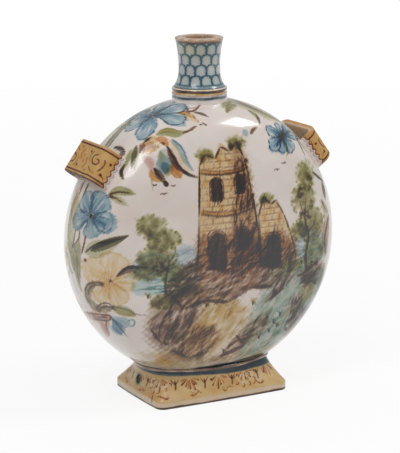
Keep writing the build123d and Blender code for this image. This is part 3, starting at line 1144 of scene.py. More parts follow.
CRAGS = (
    # outline, wash, load of the strokes, their slope in degrees, how many, strength of the darkest
    (pairs(-50, -14, -38, -6, -14, -12, 10, -8, 36, -12, 50, -22, 38, -36, 16, -34, -4, -44, -26, -40, -44,
     -46, -58, -30),
     {MANGANESE: 0.34, IRON: 0.24, ANTIMONY: 0.25}, UMBER, 28, 190, 0.85),
    (pairs(-66, -48, -48, -42, -34, -46, -36, -60, -50, -76, -64, -78, -74, -62),
     {MANGANESE: 0.2, PINK: 0.42}, UMBER, 56, 90, 0.6),
    (pairs(-40, -66, -24, -62, -10, -72, -18, -88, -38, -96, -54, -86),
     {PINK: 0.4, COPPER: 0.2, ANTIMONY: 0.16}, UMBER, 48, 80, 0.55),
    (pairs(6, -76, 24, -64, 36, -62, 34, -74, 16, -88, -8, -96),
     {PINK: 0.3, IRON: 0.2, ANTIMONY: 0.2}, BROWN, 40, 60, 0.55),
    (pairs(44, -30, 60, -22, 64, -28, 52, -40, 36, -48), {PINK: 0.4, MANGANESE: 0.12}, UMBER, 52, 44, 0.4),
    (pairs(66, -30, 84, -22, 94, -28, 94, -46, 86, -40, 72, -40), {MANGANESE: 0.3, PINK: 0.3}, UMBER, 20,
     44, 0.9),
    (pairs(58, -52, 70, -50, 74, -62, 86, -66, 78, -74, 66, -88, 58, -80, 62, -64),
     {MANGANESE: 0.28, PINK: 0.3}, UMBER, 74, 56, 0.8),
)
LIGHTS = (
    (pairs(-12, -44, 2, -42, 6, -52, -4, -58, -14, -54), 0.8),
    (pairs(-32, -58, -18, -62, -14, -74, -30, -76, -38, -68), 0.7),
    (pairs(70, -42, 82, -40, 86, -50, 78, -56, 68, -52), 1),
    (pairs(84, -70, 92, -60, 88, -76, 78, -86), 0.6),
    (pairs(-62, -84, -46, -84, -44, -92, -58, -94), 0.9),
)


def paint_front_view(brush):
    """The front's picture."""
    spot = Spot(brush, BODY_CENTRE - (0, BODY_DEPTH, 0))
    for outline in (FAR_HILLS, FAR_HILLS_RIGHT):
        spot.patch(outline, SKY, 0.55, soft=3, ragged=1)
        spot.scumble(outline, SLATE, 34, 15, 1.7, 12, 0.26)
    spot.patch(LAKE, TEAL, 0.3, soft=2.4)
    spot.scumble(LAKE, PETROL, 22, 18, 1, 0, 0.3, 2)
    for outline, load, strength in (
        (RIGHT_SLOPE, REED, 1),
        (LEFT_SLOPE, {PINK: 0.35, COPPER: 0.2, MANGANESE: 0.06}, 0.8),
        (LIT_BANK, {ANTIMONY: 0.4, PINK: 0.12, COPPER: 0.08}, 0.9),
        (LOW_BANK, {COPPER: 0.24, IRON: 0.12, PINK: 0.2}, 0.9),
    ):
        spot.patch(outline, load, strength, soft=6, streak=0.6, ragged=2.4)
        spot.scumble(outline, load, 50, 16, 4, 42, 0.45)
        spot.scumble(outline, STONE, 40, 14, 2, 48, 0.5)
    spot.scumble(RIGHT_SLOPE, {TURQUOISE: 0.5, MANGANESE: 0.1}, 44, 11, 1.6, 50, 0.35)
    for outline, strength in LIGHTS:
        spot.patch(outline, {ANTIMONY: 0.5, IRON: 0.06}, strength, soft=4, ragged=1.6)
    paint_tower(spot)
    for outline, wash, shade, turn, count, dark in CRAGS:
        crag(spot, outline, wash, shade, turn, count, dark)
    spot.scumble(CRAGS[0][0], {ANTIMONY: 0.7, IRON: 0.25}, 50, 9, 2.2, 30, 0.6)
    spot.scumble(CRAGS[0][0], LIFT, 26, 9, 1.3, 30, 0.55)
    for outline in (LEFT_SLOPE, LIT_BANK, LOW_BANK, RIGHT_SLOPE):
        spot.scumble(outline, LIFT, 22, 12, 1.5, 46, 0.4)
    paint_trees(spot)
    for x, y, size in ((-24, -46, 7), (-60, -80, 6), (20, -50, 7), (48, -76, 7), (-4, -92, 6),
        (70, -22, 6), (-76, -34, 6)):
        tuft(spot, x, y, size, IVY)
        tuft(spot, x + 2, y, size * 0.7, OLIVE, 3)
    for x, y in ((36, -66), (44, -72), (40, -80), (50, -66), (30, -84)):
        tuft(spot, x, y, 7.5, {TURQUOISE: 0.6, MANGANESE: 0.35}, 4)
    for x, y, span in ((-60, 52, 7), (-52, 58, 5), (-68, 60, 5), (46, 62, 6), (54, 67, 5)):
        bird(spot, x, y, span)


def paint_tower(spot):
    """The round tower, its openings, the broken wall beside it and the plants on both."""
    pale_stone = {ANTIMONY: 0.5, PINK: 0.06}
    stone_wall(spot, BROKEN_WALL, pale_stone, BROWN)
    stone_wall(spot, TOWER, pale_stone, BROWN)
    for outline, count in ((TOWER, 40), (BROKEN_WALL, 20)):
        spot.scumble(outline, {ANTIMONY: 0.6, IRON: 0.12}, count, 12, 4, 80, 0.5)
        spot.scumble(outline, {PINK: 0.5, MANGANESE: 0.1}, count, 9, 1.8, 70, 0.4)
    spot.patch(TOWER_SHADE, {IRON: 0.2, MANGANESE: 0.16, PINK: 0.1}, 0.8, soft=8, ragged=2)
    spot.scumble(TOWER_SHADE, UMBER, 80, 13, 1.7, 76, 0.55)
    spot.scumble(TOWER_SHADE, DARK, 44, 12, 1.1, 72, 0.6)
    spot.scumble(TOWER_SHADE, RUST, 24, 9, 1.5, 30, 0.4)
    for outline in (TOWER_FOOT, WALL_FOOT):
        spot.patch(outline, {IRON: 0.24, MANGANESE: 0.24}, 0.8, soft=7, ragged=2)
        spot.scumble(outline, UMBER, 70, 11, 2, 60, 0.6)
        spot.scumble(outline, {ANTIMONY: 0.6, IRON: 0.5}, 30, 9, 1.9, 52, 0.5)
    opening(spot, -14, 42, 10, 18)
    opening(spot, 8, 46, 8, 15)
    opening(spot, -15, -14, 14, 30)
    opening(spot, 9, 0, 9, 17)
    opening(spot, 38, -19, 14, 28)
    for outline in (TOWER, BROKEN_WALL):
        for first, second in zip(outline[:-1], outline[1:]):
            spot.stroke([first, second], spot.stray(1.5, 0.7), DARK, spot.stray(0.75, 0.25), "leaf")
    for height in (34, 68):
        ring = [(-30 + height * 0.02, height), (-12, height - 3), (6, height - 2.6),
            (21.5 - height * 0.07, height + 1)]
        spot.stroke(ring, 2.4, OCHRE, 0.6)
        spot.stroke([(x, y - 1.6) for x, y in ring], 1, DARK, 0.65)
        spot.stroke([(x, y + 1.6) for x, y in ring], 0.8, BROWN, 0.6)
    bush(spot, -22, 80, 15, 9, OLIVE, IVY, 26)
    bush(spot, 8, 88, 17, 8, OLIVE, DARK, 28)
    bush(spot, 32, 39, 13, 8, OLIVE, IVY, 20)
    for k in range(60):
        x, y = ((22, 4), (20, 18), (21, 30), (17, 44), (18, 58), (14, 70))[k % 6]
        spot.dab(spot.stray(x, 4), spot.stray(y, 7), spot.stray(2.4, 0.8), IVY if k % 2 else OLIVE, 0.5)


def paint_trees(spot):
    """Soft masses of leaves at the right and the left, their trunks, and the bushes between."""
    for x, y, wide, high, count in (
        (76, 54, 20, 26, 70), (72, 34, 26, 26, 80), (80, 12, 30, 30, 90), (84, -12, 24, 26, 60),
         (66, 8, 18, 16, 40),
        (-72, 26, 24, 20, 60), (-62, 14, 28, 18, 70), (-68, 0, 34, 20, 90), (-54, -14, 22, 16, 60),
         (-76, -12, 22, 12, 40),
        (-60, -38, 26, 12, 60), (-40, -30, 22, 10, 46), (60, -22, 20, 9, 36),
    ):
        bush(spot, x, y, wide, high, OLIVE, IVY, count)
    for x, y, wide in ((-66, -9, 20), (-52, -22, 14), (82, -24, 16), (74, 20, 14), (70, 40, 10)):
        spot.scumble(arch_path(x, y - 4, wide, 9), {IRON: 0.5, MANGANESE: 0.3, COPPER: 0.3}, 20, 5, 2.2,
            10, 0.5, 40)
    trunk = [(76, -30), (74, -14), (77, 2), (73, 18), (75, 34)]
    spot.stroke(trunk, 3, BROWN, 0.8, "tail")
    spot.stroke([(x + 0.8, y) for x, y in trunk], 1.2, DARK, 0.8, "tail")
    left_trunk = [(-60, -34), (-61, -20), (-58, -6), (-60, 6)]
    spot.stroke(left_trunk, 2.4, BROWN, 0.8, "tail")
    for branch in (
        ((75, -4), (68, 6), (65, 14)), ((76, 4), (84, 12), (87, 22)), ((74, 18), (69, 28), (68, 38)),
        ((-59, -12), (-66, -4), (-70, 4)), ((-59, -6), (-53, 2), (-52, 10)),
    ):
        spot.stroke(branch, 1.3, BROWN, 0.7, "tail")


# The flower sprays that the picture shows on the front: brush load, kind of mark, width in
# millimetres, and the pixels of the picture that the mark passes

UPPER_SPRAY_PIXELS = (
    (GREEN, "line", 4.6, 106, 145, 115, 134, 127, 123, 133, 118),
    (MOSS, "tail", 1.4, 108.4, 146.5, 116, 136.5, 127, 124.5),
    (STRAW, "leaf", 6.6, 176, 112.5, 188, 115, 198.5, 123),
    (OCHRE, "leaf", 3, 177, 112, 186, 113.5, 193, 118),
    (SMOKE, "tail", 0.9, 176, 113, 186, 111.5, 196, 119, 201, 124),
    (DARK, "dab", 1.1, 200.6, 124.4, 201, 124.6),
    (DARK, "dab", 1, 203.4, 123.3, 203.7, 123.5),
    (DARK, "dab", 1, 205.4, 124.5, 205.7, 124.6),
    (BROWN, "tail", 2.1, 187, 110.2, 189.6, 111.2, 195, 109.9, 199.5, 105.4, 205.3, 101.6),
    (BROWN, "tail", 1.2, 187, 110.2, 188.6, 108, 193.6, 107.8, 197, 106.3),
    (SMOKE, "leaf", 2.8, 193.2, 112, 200.4, 113.2, 208.5, 116.8),
    (GREEN, "leaf", 6.2, 155.5, 135, 166.4, 131.5, 177, 133.4, 187, 131.2),
    (STRAW, "leaf", 3.4, 157, 133.5, 168, 130.4, 180, 132),
    (BROWN, "leaf", 1.8, 182, 133, 190, 130, 197.2, 125.2),
    (DARK, "leaf", 2, 144.6, 142.4, 147.5, 139.6, 151.2, 137.2),
    (RUST, "leaf", 2.4, 143.2, 142, 143.8, 148, 143.4, 154),
    (OCHRE, "leaf", 6, 146, 143, 150, 146, 148, 151),
    (YELLOW, "leaf", 5, 144.6, 151, 150, 148, 156, 146),
    (SAGE, "leaf", 4, 147, 146.5, 153, 145, 158, 147),
    (ROSE, "leaf", 5, 143, 156, 150, 163, 152, 172),
    (ORANGE, "leaf", 5, 156, 138, 162.5, 140, 168.5, 146.5),
    (BROWN, "leaf", 1.7, 161.4, 142, 163.2, 143.6, 165, 145),
    (SKY, "leaf", 4.4, 171, 139.5, 180.5, 149, 185.5, 160, 193, 171),
    (SLATE, "tail", 1.1, 172, 139, 182, 148, 187, 160, 194, 171.5),
    (SKY, "petal", 10.5, 160, 151, 163, 160, 165.5, 174),
    (BLUE, "leaf", 5.5, 163, 162, 165.5, 168, 166, 174),
    (STRAW, "leaf", 4.5, 160, 152, 162, 158, 161, 163),
    (ORANGE, "petal", 7, 172.5, 160, 175.4, 168.8, 181, 177.6),
    (YELLOW, "leaf", 4, 171, 164, 170.5, 170, 167, 176),
    (OCHRE, "leaf", 4.2, 150.2, 170, 153.8, 177, 162, 182),
    (BROWN, "leaf", 3.9, 167.2, 146.3, 172.7, 158, 177.5, 167, 185, 172.6),
    (DARK, "leaf", 1.5, 167, 146.3, 174.2, 158.6, 181, 168, 190, 174.5),
    (DARK, "tail", 2.8, 183, 171.3, 190, 175, 198.6, 177.8),
    (BROWN, "leaf", 3.8, 153.9, 167.8, 159.3, 175.2, 164.6, 181.4, 166.6, 184.2),
    (DARK, "leaf", 1.4, 153.6, 167.6, 157.5, 174, 163, 180.6),
    (DARK, "dab", 3, 165.2, 183, 166.6, 184.6),
    (SAGE, "tail", 1.2, 151.3, 179.5, 152.6, 186, 153, 193),
    (GREEN, "leaf", 3.6, 131.6, 149, 128, 158, 123.6, 169),
    (MOSS, "leaf", 2.8, 124.5, 164, 121, 172, 123.8, 180.6),
    (DARK, "leaf", 2, 123, 167, 120.8, 173, 122.4, 176),
    (MOSS, "leaf", 3.4, 136.4, 145, 134.3, 154.5, 131.8, 168),
    (SAGE, "leaf", 2.8, 139, 147, 136.5, 158, 134, 171),
    (BROWN, "leaf", 2, 140.5, 143.6, 140.8, 149, 140.2, 154),
    (SMOKE, "leaf", 3.4, 113.5, 147, 120, 148.4, 124.8, 152),
    (DARK, "tail", 1.6, 114.6, 147, 121, 148.6, 125, 151),
    (SMOKE, "leaf", 4.2, 124.5, 151, 121.4, 154.4, 119.6, 156.6),
    (DARK, "leaf", 2.2, 84.6, 180.5, 82, 186, 79, 194.5),
    (MOSS, "leaf", 2.4, 88.6, 182.5, 86, 189, 82, 197),
    (OCHRE, "leaf", 1.8, 82.5, 182, 80, 187, 78, 192),
)

LOWER_SPRAY_PIXELS = (
    (GREEN, "leaf", 5.4, 108.4, 194.7, 118.2, 190.6, 136, 194.2),
    (BROWN, "tail", 1.8, 108.6, 194.6, 119, 192, 131, 193.4),
    (SAGE, "leaf", 4.2, 109, 196, 117, 199, 128.5, 206.2),
    (BROWN, "tail", 1.4, 109, 196, 116.5, 198.8, 124, 204),
    (BROWN, "line", 1.6, 85.6, 236, 84, 244, 81.6, 253),
    (SMOKE, "line", 1.5, 79.6, 230, 78.4, 239, 71.8, 248),
    (SMOKE, "line", 1.3, 75.2, 229, 74, 239, 72, 247),
    (SAGE, "line", 4.6, 71.5, 211, 69, 229, 71, 248, 75, 270, 81, 291),
    (SAGE, "leaf", 4.6, 80, 232, 78, 256, 80, 282),
    (GREEN, "line", 2, 77.9, 191, 71.8, 208, 68, 229, 69.6, 250, 74, 272),
    (OCHRE, "line", 1.5, 79, 192, 73.4, 207, 70, 226),
    (SKY, "line", 1.6, 68.6, 256, 72, 276, 79, 296),
    (SMOKE, "tail", 1, 76.6, 256, 77.6, 274, 82, 292),
    (SAGE, "petal", 11, 126, 237, 106, 247, 85, 251.5),
    (MOSS, "leaf", 5.6, 90, 250.8, 100, 246.5, 129, 235.4),
    (BROWN, "leaf", 3, 92, 249, 103, 244, 122, 237.5),
    (DARK, "tail", 1.1, 85, 252.5, 97, 243.6, 112, 241.6, 129.4, 235),
    (DARK, "dab", 1.7, 84.6, 260, 85.6, 260.3),
    (SMOKE, "leaf", 3.6, 117.5, 276.2, 126.5, 270.2, 140, 269.2),
    (DARK, "leaf", 2, 116, 276.4, 127.4, 267.8, 137, 267.2, 148.3, 267.7),
    (SMOKE, "line", 1.3, 104.8, 284.6, 97, 282.4, 88, 284.4, 84.6, 291),
    (SMOKE, "line", 1.1, 104, 286, 96, 285, 89.6, 288, 88, 295),
    (STONE, "leaf", 5, 86, 287, 86.6, 297, 92, 306),
    (SMOKE, "line", 1, 84.7, 288, 86.4, 297.5, 91.5, 305.5),
    (SMOKE, "line", 1.2, 96, 309.4, 100.8, 304.2, 108, 303.4, 114, 307.4),
    (SMOKE, "line", 1.1, 98, 311.5, 103, 306.8, 109.4, 307, 116, 310),
    (STONE, "leaf", 4.4, 90, 307, 98, 309, 107, 306),
    (GREEN, "leaf", 6.6, 111.6, 307.6, 127.4, 312.2, 136.4, 315.8),
    (STRAW, "leaf", 3.6, 115, 310.6, 127, 315, 135, 316.4),
    (SMOKE, "tail", 0.9, 112, 306.2, 126, 309.4, 137, 314.6, 148, 315.2),
    (ROSE, "leaf", 6.5, 84, 313.4, 97, 316.6, 106, 317.4),
    (BROWN, "line", 1.5, 84, 311.8, 95, 314, 105.4, 315.4, 110, 316.2, 109.6, 319.8, 102, 320.2, 93, 318.4),
    (BROWN, "tail", 1.2, 107.6, 317.6, 100, 317.2, 90, 315.8),
    (ROSE, "leaf", 7, 101, 321, 104.5, 328, 107, 337),
    (BROWN, "tail", 1.4, 106.4, 321.5, 106.6, 328, 109.6, 336),
    (BLUE, "petal", 8.6, 111.4, 317.4, 116.5, 325, 121, 334),
    (SKY, "petal", 8, 112, 316.4, 122, 322, 130.4, 325),
    (SKY, "leaf", 5.5, 111, 325.4, 116, 331.6, 123, 335),
    (SLATE, "tail", 1.6, 112, 318, 120, 328, 131.2, 340.4),
    (TEAL, "line", 1.1, 127.6, 321.6, 131, 319.8, 134.6, 321.6, 133.6, 325.8, 130, 326.6),
)

RIGHT_SPRAY_PIXELS = (
    (SAGE, "line", 7, 225, 99.4, 241.5, 104, 260, 112, 281, 122),
    (RUST, "leaf", 5.6, 230, 98.6, 246, 104.6, 262, 112.4),
    (GREEN, "leaf", 5.4, 244, 104.4, 258, 110, 274, 118.6),
    (BROWN, "tail", 2.4, 238, 101.4, 254, 108, 275, 118.6, 282, 122.6),
    (GREEN, "leaf", 5, 236, 104, 229.5, 107.6, 226.4, 113),
    (GREEN, "leaf", 4.4, 231, 101.6, 226, 103.6, 222.6, 108),
    (SMOKE, "leaf", 2.8, 255, 113, 258.6, 119, 259.6, 124.6),
    (GREEN, "leaf", 3.6, 248, 110, 254, 114, 257.6, 119),
    (BROWN, "leaf", 2.4, 250.6, 134.2, 253.4, 129.4, 257.4, 127),
    (SKY, "leaf", 4.2, 243.6, 129, 245.6, 133, 247, 137),
    (STRAW, "tail", 3.4, 284.6, 142, 287, 150, 286, 160),
    (SMOKE, "tail", 1, 286, 143, 288.2, 150, 287.4, 156),
    (SMOKE, "leaf", 1.8, 295.6, 137, 300.6, 146, 305.4, 156.6),
    (SKY, "leaf", 2.4, 293.4, 132.6, 300, 142, 306, 152),
    (DARK, "leaf", 1.9, 312.4, 171.8, 318.4, 177, 323.6, 181.8),
    (SMOKE, "leaf", 4.4, 321.6, 181, 324, 190, 325.6, 200),
    (SAGE, "leaf", 5, 321.6, 200, 324.4, 207, 328, 213),
    (SMOKE, "tail", 0.9, 321.2, 199, 324.6, 207, 328.4, 214),
    (ROSE, "leaf", 8, 328.6, 215, 325.6, 233, 326.4, 254),
    (BROWN, "tail", 2.6, 328.4, 216, 325, 236, 325.4, 256),
    (SLATE, "leaf", 5.6, 323, 268, 319.4, 284, 313.4, 297),
    (SAGE, "leaf", 5.6, 325, 262, 321, 282, 312, 303),
    (SLATE, "tail", 1, 311, 300, 302, 314, 288, 329),
)

FLOWER_PIXELS = (
    # pixel of the heart, pixels of the petals' tips, their widths in mm, and loads of petal, line and heart
    ((153.6, 115), pairs(134, 115.5, 168, 101.8, 184, 106, 187, 122.4, 142, 138.5, 125.5, 129),
     (17, 17, 18, 17, 19, 15), {COBALT: 0.72, TURQUOISE: 0.06}, NAVY, NAVY),
    ((90.5, 215.5), pairs(84.2, 194.5, 104.5, 195, 73.2, 222.5, 93.5, 236, 115, 227.5),
     (19, 24, 19, 23, 18), {COBALT: 0.74, TURQUOISE: 0.1}, SLATE, DARK),
    ((281.6, 136.4), pairs(267.6, 128.6, 277.4, 123.4, 288, 123.6, 296.4, 135.4, 293.4, 151, 281.6, 152.6,
     270.6, 149.6), (11, 9, 9, 10, 12.5, 12, 11.5), {COBALT: 0.74, TURQUOISE: 0.1}, NAVY, NAVY),
    ((110.3, 281), pairs(115.5, 253.2, 83.5, 265, 137, 280.5, 94, 297.5, 122.5, 305),
     (24, 22, 17, 18, 19), {ANTIMONY: 0.66}, {ANTIMONY: 0.4, IRON: 0.16}, {PINK: 0.9, MANGANESE: 0.3}),
)

# Wide washes under the sprays: brush load, strength, softness in millimetres, and pixels around them
SPRAY_WASHES = (
    ({ANTIMONY: 0.34, PINK: 0.12}, 0.8, 2, 168, 139, 178, 146, 186, 160, 192, 171, 182, 168, 174, 152),
    ({PINK: 0.45}, 0.6, 4, 144, 157, 150, 152, 156, 160, 158, 172, 152, 178, 147, 168),
    ({COPPER: 0.3, COBALT: 0.16}, 0.8, 2.4, 160, 150, 166, 150, 171, 160, 172, 172, 164, 176, 158, 164),
    ({ANTIMONY: 0.5, IRON: 0.2, COPPER: 0.12}, 0.8, 1.6, 144, 139, 153, 136, 160, 143, 153, 152, 145, 153),
    ({COPPER: 0.62, ANTIMONY: 0.2}, 0.8, 1.6, 78, 186, 73, 200, 68.6, 222, 68, 246, 73, 270, 78, 262, 74,
     240, 74, 222, 79, 204),
    ({COPPER: 0.45, MANGANESE: 0.14}, 0.8, 2, 74, 246, 80, 244, 81, 262, 80, 284, 76, 276, 73, 262),
    ({COPPER: 0.34, MANGANESE: 0.24}, 0.9, 1.8, 86, 284, 96, 281, 104, 284, 94, 288, 91, 298, 100, 306,
     114, 306, 110, 311, 96, 311, 86, 300),
    ({PINK: 0.6, IRON: 0.2}, 0.7, 1.8, 84, 312, 96, 310, 108, 313, 110, 320, 108, 336, 100, 324, 90, 318),
    ({COPPER: 0.5, MANGANESE: 0.12}, 0.8, 1.6, 104, 146, 116, 132, 130, 119, 134, 119, 120, 133, 108, 147),
    ({COPPER: 0.4, IRON: 0.12}, 0.7, 1.8, 228, 98, 246, 103, 266, 112, 280, 121, 270, 120, 250, 111, 234,
     106, 226, 112),
    ({COPPER: 0.3, PINK: 0.3}, 0.7, 1.6, 320, 200, 325, 204, 329, 216, 328, 240, 325, 256, 323, 236, 324,
     214),
)

SPRAY_SWELL = 1.32


def paint_pixel_wash(brush, load, strength, soft, *pixels):
    """A wash inside a closed curve through points of the picture."""
    places = [pin(x, y) for x, y in pairs(*pixels)]
    spot = Spot(brush, np.mean(places, axis=0))
    spot.patch(spot.flat(places), load, strength, soft=soft, streak=0.6, ragged=0.8)


def paint_pixel_mark(brush, load, shape, width, *pixels):
    """A mark whose places are points of the picture."""
    path = [pin(x, y) for x, y in pairs(*pixels)]
    if shape in ("leaf", "petal") and width > 3:
        brush.stroke(path, width * SPRAY_SWELL * mm, load, 0.72, shape, soft=0.8 * mm, edge=0.5, streak=0.4)
        brush.stroke(path, width * 0.5 * mm, load, 0.3, shape, streak=0.5)
    else:
        brush.stroke(path, width * 1.1 * mm, load, 0.95, shape)


def paint_pixel_flower(brush, heart, tips, widths, load, line, heart_load):
    """A flower whose heart and petal tips are points of the picture."""
    spot = Spot(brush, pin(*heart))
    for tip, width in zip(tips, widths):
        x, y = spot.flat(pin(*tip))
        petal(spot, 0, 0, atan2(y, x), hypot(x, y), width, load, line)
    for x, y in ((1.6, 0.4), (-1.4, 1.6), (-0.8, -1.8), (1.8, -1.2)):
        spot.stroke([(0, 0), (x * 1.5, y * 1.5)], 0.9, heart_load, 0.9, "tail")
    spot.dab(0, 0, 1.9, heart_load, 1)


def paint_body(brush):
    """All of the body's decoration, and the painted shade over the bead."""
    paint_front_view(brush)
    for wash in SPRAY_WASHES:
        paint_pixel_wash(brush, *wash)
    for mark in (*UPPER_SPRAY_PIXELS, *LOWER_SPRAY_PIXELS, *RIGHT_SPRAY_PIXELS):
        paint_pixel_mark(brush, *mark)
    for flower in FLOWER_PIXELS:
        paint_pixel_flower(brush, *flower)
    paint_back(brush)
    paint_rim(brush)
    paint_waist_band(brush)


def paint_back(brush):
    """The back: a loose bunch of flowers in the manner of the front's sprays."""
    spot = Spot(brush, BODY_CENTRE + (0, BODY_DEPTH, 0))
    for path in (
        ((0, -72), (-4, -40), (2, -8), (0, 18)),
        ((0, -70), (-20, -44), (-44, -22), (-52, 0)),
        ((1, -70), (24, -46), (46, -30), (58, -8)),
        ((-2, -52), (-22, -16), (-30, 24), (-26, 44)),
        ((2, -50), (24, -12), (34, 22), (32, 46)),
        ((0, -66), (-30, -62), (-56, -52)),
        ((1, -66), (32, -62), (58, -56)),
    ):
        spot.stroke(path, 2.2, GREEN, 0.9, "tail")
        spot.stroke([(x + 0.7, y) for x, y in path], 0.9, SMOKE, 0.8, "tail")
    for points, width in (
        (((-8, -40), (-22, -34), (-36, -38)), 8), (((2, -34), (14, -24), (28, -26)), 8),
        (((-26, -14), (-40, -14), (-52, -24)), 7), (((26, -10), (40, -12), (54, -22)), 7),
        (((-30, 16), (-46, 20), (-58, 32)), 7.5), (((34, 18), (48, 20), (62, 30)), 7.5),
        (((-20, -58), (-34, -70), (-46, -72)), 7), (((22, -58), (34, -70), (48, -72)), 7),
        (((0, 6), (-10, 2), (-18, 8)), 5.5), (((0, 0), (10, -4), (18, 2)), 5.5),
    ):
        leaf(spot, points, width, GREEN if width > 7 else SAGE, MOSS)
    blossom(spot.moved(0, 24), 23, 6, {COBALT: 0.78}, SLATE)
    blossom(spot.moved(-54, 8), 19, 5, {ANTIMONY: 0.8}, {ANTIMONY: 0.4, IRON: 0.5},
        {PINK: 0.9, MANGANESE: 0.3}, 60)
    blossom(spot.moved(60, 0), 18, 5, {COBALT: 0.7, TURQUOISE: 0.15}, NAVY, start=20)
    tulip(spot.moved(-27, 52, 14), 24, ({ANTIMONY: 0.5, IRON: 0.6}, {ANTIMONY: 0.7}, SKY), SLATE, BROWN)
    tulip(spot.moved(33, 54, -16), 24, (SKY, {COBALT: 0.4}, {ANTIMONY: 0.6, IRON: 0.3}), SLATE, BROWN)
    blossom(spot.moved(-62, -54), 13, 5, {COBALT: 0.6}, SLATE, start=10)
    blossom(spot.moved(64, -58), 13, 5, {ANTIMONY: 0.75}, {ANTIMONY: 0.4, IRON: 0.5}, BROWN, 40)
    for x, y, size, start, hand in ((-12, -78, 8, 90, 1), (12, -78, 8, 90, -1), (-38, 68, 6, 0, 1),
        (46, 68, 6, 180, -1)):
        spot.stroke(spiral(x, y, size, start, 1.2, hand), 1.5, BROWN, 0.85)
    for x, y in ((-6, 54), (4, 60), (-80, 30), (84, 24), (-84, -26), (86, -30), (0, -90)):
        for k in range(3):
            spot.dab(x + 2.6 * k, y + spot.stray(0, 1.4), 1.1, DARK, 0.9)


def paint_rim(brush):
    """Sprigs along the narrow edge, on the sides that the front's sprays leave free."""
    blue, deep_blue, yellow = ({COBALT: 0.6}, SLATE), ({COBALT: 0.7}, SLATE), ({ANTIMONY: 0.75}, ORANGE)
    for turn, (load, line) in (
        (2, deep_blue), (-24, yellow), (-48, blue), (64, yellow), (116, deep_blue), (182, yellow),
        (206, deep_blue), (228, blue),
    ):
        out, along = rim_axes(radians(turn))

        def place(x, y):
            return BODY_CENTRE + out * BODY_RADIUS + along * y * mm + np.array((0, 1.0, 0)) * x * mm

        brush.stroke([place(9, -20), place(12, -6), place(8, 8), place(10, 20)], 2 * mm, GREEN, 0.85, "leaf")
        for hand, rise in ((-1, -10), (1, -2), (-1, 8), (1, 14)):
            tip = [place(10, rise), place(10 + hand * 6, rise + 5), place(10 + hand * 11, rise + 6)]
            brush.stroke(tip, 4.2 * mm, SAGE, 0.9, "leaf")
            brush.stroke(tip, 1 * mm, SMOKE, 0.8, "tail")
        blossom(Spot(brush, place(16, 1)), 9.5, 5, load, line, start=turn * 3)


# The neck and its collar

SCALE_COLUMNS = 12
SCALE_PITCH = 8.6 * mm
SCALE_START = 2.6 * mm
SCALE_LINE = 0.74 * mm
SCALE_BLUE = {TURQUOISE: 0.24, COBALT: 0.8, MANGANESE: 0.13}


def paint_neck(brush):
    """Scales on the neck, a worn lip, and bands on the collar."""
    x, y, z = brush.places.T
    radius, turn = np.hypot(x, y), np.arctan2(y, x)
    base, top, bore = COLLAR_HIGH.z, NECK_HIGH.z, sizes().bore_radius
    is_neck = (z > base + 0.05 * mm) | (radius < sizes().neck_spigot - 0.1 * mm)
    skin = is_neck & (radius > bore + 2.2 * mm)
    wave = np.sin(turn * 5 + 0.7) * 0.5 + np.sin(turn * 11 + 2.1) * 0.3 + np.sin(turn * 17 + z * 900) * 0.2

    rise = z - base - SCALE_START + wave * 0.25 * mm
    row = np.floor(rise / SCALE_PITCH)
    v = rise / SCALE_PITCH - row
    column = turn / (2 * pi) * SCALE_COLUMNS + 0.28 + 0.5 * (row % 2) + 0.03 * np.sin(turn * 3 + row * 2)
    u = column - np.round(column)
    half_wide = pi * radius / SCALE_COLUMNS
    ellipse = np.hypot(u * 2, np.maximum(v - 0.5, 0) * 2)
    arch_gap = np.abs(ellipse - 1) * np.minimum(half_wide, SCALE_PITCH / 2)
    gap = np.where(v > 0.5, arch_gap, np.abs(np.abs(u) - 0.5) * 2 * half_wide)
    field = skin & (rise > 0) & (z < top - 3.4 * mm)
    knots = 1 + 0.35 * np.sin(turn * 23 + z * 2300) + 0.2 * np.sin(turn * 41 - z * 1700)
    line = clamp((SCALE_LINE * knots - gap) / (0.5 * mm) + 0.5) * field
    halo = bell(gap, 1.5 * mm) * field * np.where((v <= 0.5) | (ellipse < 1), 1, 0.45)
    patchy = 0.5 + 0.5 * np.sin(turn * 2 + 1.1) * np.cos(z * 160)
    brush.wash(line * (0.8 + 0.3 * patchy), SCALE_BLUE)
    brush.wash(halo * (0.3 + 0.2 * patchy), {TURQUOISE: 0.3, COBALT: 0.75})
    brush.wash(field * (0.1 + 0.06 * patchy), {COBALT: 0.9, TURQUOISE: 0.4, MANGANESE: 0.2})
    # A yellow-green tint over the scales of the upper neck, on the side that faces left and towards the
    # front.
    front_left_tint = clamp(np.cos(turn - radians(215))) ** 2 * clamp((z - base - 18 * mm) / (14 * mm)) * field
    brush.wash(front_left_tint * 0.22, {ANTIMONY: 0.9, COPPER: 0.3})
    skirt = skin * clamp(1 - (z - base) / (2.6 * mm))
    brush.wash(skirt * 0.8, {TURQUOISE: 0.2, COBALT: 0.8, MANGANESE: 0.16})
    brush.wash(skin * bell(z - base - SCALE_START + wave * 0.2 * mm, 0.75 * mm) * 0.8, SCALE_BLUE)

    speck = np.sin(turn * 37 + z * 3100) * np.sin(turn * 23 - radius * 4100 + 1)
    lip_line = skin * bell(z - top + 3.1 * mm + wave * 0.5 * mm, 0.75 * mm)
    brush.wash(lip_line * (0.9 + 0.5 * wave), {MANGANESE: 0.9, IRON: 0.3})
    lip = is_neck & (z > top - 2.7 * mm) & (radius > bore - 0.1 * mm)
    brush.wash(lip * (0.45 + 0.25 * wave), {PINK: 0.6, ANTIMONY: 0.35, IRON: 0.1})
    brush.wash(lip * clamp(speck - 0.35) * 1.6, {MANGANESE: 0.8})
    brush.wash(lip * clamp(0.42 + 0.3 * speck + 0.2 * wave) * 0.9, {BARE: 1})
    inner = is_neck & (radius < bore + 2.2 * mm) & (z > top - 12 * mm)
    brush.wash(inner * 0.5, {ANTIMONY: 0.3, PINK: 0.4, MANGANESE: 0.1})
    paint_collar(brush, z, turn, wave, ~is_neck)


